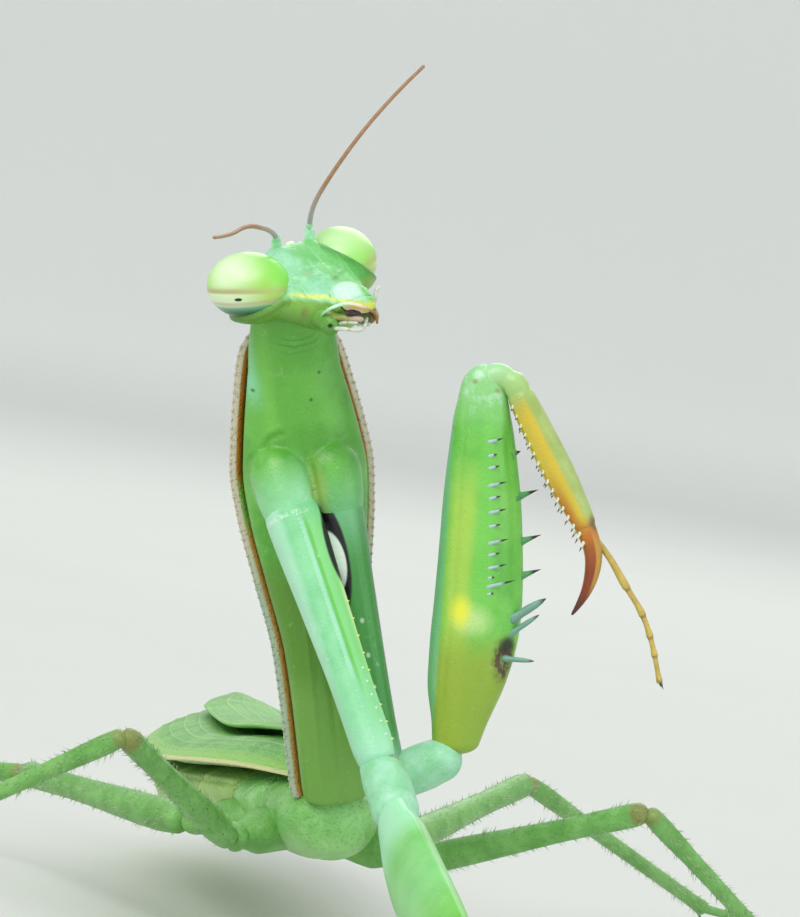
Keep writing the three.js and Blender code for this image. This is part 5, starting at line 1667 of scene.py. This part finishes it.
def furnish(joint, length, thick, lane):
    # scatters fine hairs over a straight leg piece; lane is its own strip of the unwrap
    n = int(length * hairRows["perMm"])
    z = seed.uniform(0.4, length - 0.3, n)
    a = seed.uniform(0, 2 * pi, n)
    r = thick(z / length) * 0.98
    normal = np.stack([np.cos(a), np.sin(a), np.zeros(n)], -1)
    roots = normal * r[:, None] + np.stack([np.zeros(n), np.zeros(n), z], -1)
    lean = normal + (0, 0, 0.9) + seed.normal(0, 0.12, (n, 3))
    size = seed.uniform(*hairRows["tall"], n)
    flat = np.stack([(lane + 0.1 + 0.8 * a / (2 * pi)) / hairRows["strips"], 0.05 + 0.9 * z / length], -1)
    hairs.append((joint.out(roots), lean @ joint.axes, size, flat))


def buildWalkingLegs():
    lane = 0
    for pair, leg in walking.items():
        for side in ("left", "right"):
            hip, coxa, femur, tibia = leg[side]
            outward = (1 if side == "left" else -1, 0, 0)
            root = vec(*hip)
            hipEnd = root + heading(*coxa) * leg["hip"]
            knee = hipEnd + heading(*femur) * leg["femur"]
            ankle = knee + heading(*tibia) * leg["tibia"]
            word = f"{pair}_{side}"
            finish, colour, pits = cuticle("leg_shell_" + word, "5f9f42", "7dba62", 0.7, Roughness=0.45)
            kneeBrown = finish.step(finish.read("mark"), 0.2, 0.9)
            colour = colour.washed(kneeBrown * 0.6, "8a6a3c")
            colour = colour.washed(finish.step(finish.read("tip"), 0.1, 0.6), "3a2414")
            finish.paint(colour, bump=pits, depth=0.02)

            haunch = profile([0, 1.0], [0.5, 0.92], [0.75, 0.6], [0.85, 0.62], [1, 0.5])
            form = limb(
                leg["hip"], haunch, haunch, sides=48, along=50, ends=(0.3, 0.3),
                relief=lambda s, a: 0.05 * np.cos(3 * a) * ease(s, 0.3, 1) - 0.07 * bell(s - 2.5, 0.1),
            )
            hipJoint = Joint(root, heading(*coxa), outward)
            piece("hip_" + word, moved(form, hipJoint), finish, [f"{pair}_coxa_{side}"])

            half = leg["thigh"]
            girth = profile(
                [0, half * 0.8], [0.15, half], [0.7, half * 0.75], [0.93, half * 0.8], [1, half * 0.6]
            )
            thigh = limb(
                leg["femur"], girth, girth, sides=40, along=110, ends=(0.3, 0.35),
                relief=lambda s, a: 0.03 * np.cos(4 * a) * bell(np.cos(4 * a) - 1, 0.6),
            )
            thigh["mark"] = ease(thigh["place"][:, 2], leg["femur"] - 1.0, leg["femur"] - 0.2)
            thighJoint = Joint(hipEnd, heading(*femur), outward)
            piece("thigh_" + word, moved(thigh, thighJoint), finish, [f"{pair}_femur_{side}"])
            furnish(thighJoint, leg["femur"], girth, lane)

            half = leg["shin"]
            shank = profile([0, half], [0.08, half * 1.15], [0.3, half * 0.95], [0.9, half * 0.85], [1, half])
            shin = limb(leg["tibia"], shank, shank, sides=32, along=110, ends=(0.25, 0.2))
            shin["mark"] = ease(shin["place"][:, 2], 0.9, 0.2) * 0.7
            shinJoint = Joint(knee, heading(*tibia), outward)
            roots = [(s * 0.22, 0.16, leg["tibia"] - 0.25) for s in (1, -1)]
            spurs = spikes(roots, [(s * 0.45, 0.25, 1) for s in (1, -1)], 0.75, 0.09, 10)
            parts = [moved(shin, shinJoint), moved(spurs, shinJoint)]
            piece("shin_" + word, parts, finish, [f"{pair}_tibia_{side}"])
            furnish(shinJoint, leg["tibia"], shank, lane + 1)

            flat = heading(tibia[0], 0)
            step = lambda share, height: np.append((ankle + flat * leg["tarsus"] * share)[:2], height)
            path = Path(
                ankle - heading(*tibia) * 0.1, step(0.28, ankle[2] * 0.5 + 0.15),
                step(0.6, 0.24), step(0.87, 0.24),
            )
            forms = flatFooted(footForms(path, 0.26, 0.2))
            piece("foot_" + word, forms, finish, [f"{pair}_tarsus_{side}"])
            lane += 2


def buildHairs():
    roots, leans, sizes, flats = (np.concatenate(part) for part in zip(*hairs))
    levels = (-0.2, 0.3, 0.7, 1)
    form = spikes(roots, leans, sizes, hairRows["thick"], 3, foot=1.0, levels=levels)
    finish = Finish("leg_hair", Roughness=0.5)
    finish.paint(finish.mix(finish.step(finish.read("tip"), 0.2, 0.9), "8fae7c", "d9e6cc"))
    made = piece("leg_hairs", form, finish)
    # each hair's own small patch of the unwrap: three rings that shrink to the tip
    ring = np.array([(cos(k * 2.1), sin(k * 2.1)) for k in range(3)])
    size = hairRows["patch"]
    patch = np.vstack([ring * size * (1 - 0.28 * i) for i in range(len(levels) - 1)] + [[(0.0, 0.0)]])
    spots = (np.clip(flats, 0.01, 0.99)[:, None] + patch[None]).reshape(-1, 2)
    corners = np.empty(len(made.data.loops), np.int32)
    made.data.loops.foreach_get("vertex_index", corners)
    unwrap = made.data.uv_layers.new(name="OFBake")
    unwrap.data.foreach_set("uv", spots[corners].ravel())


buildWalkingLegs()
buildHairs()
print("walking legs built")
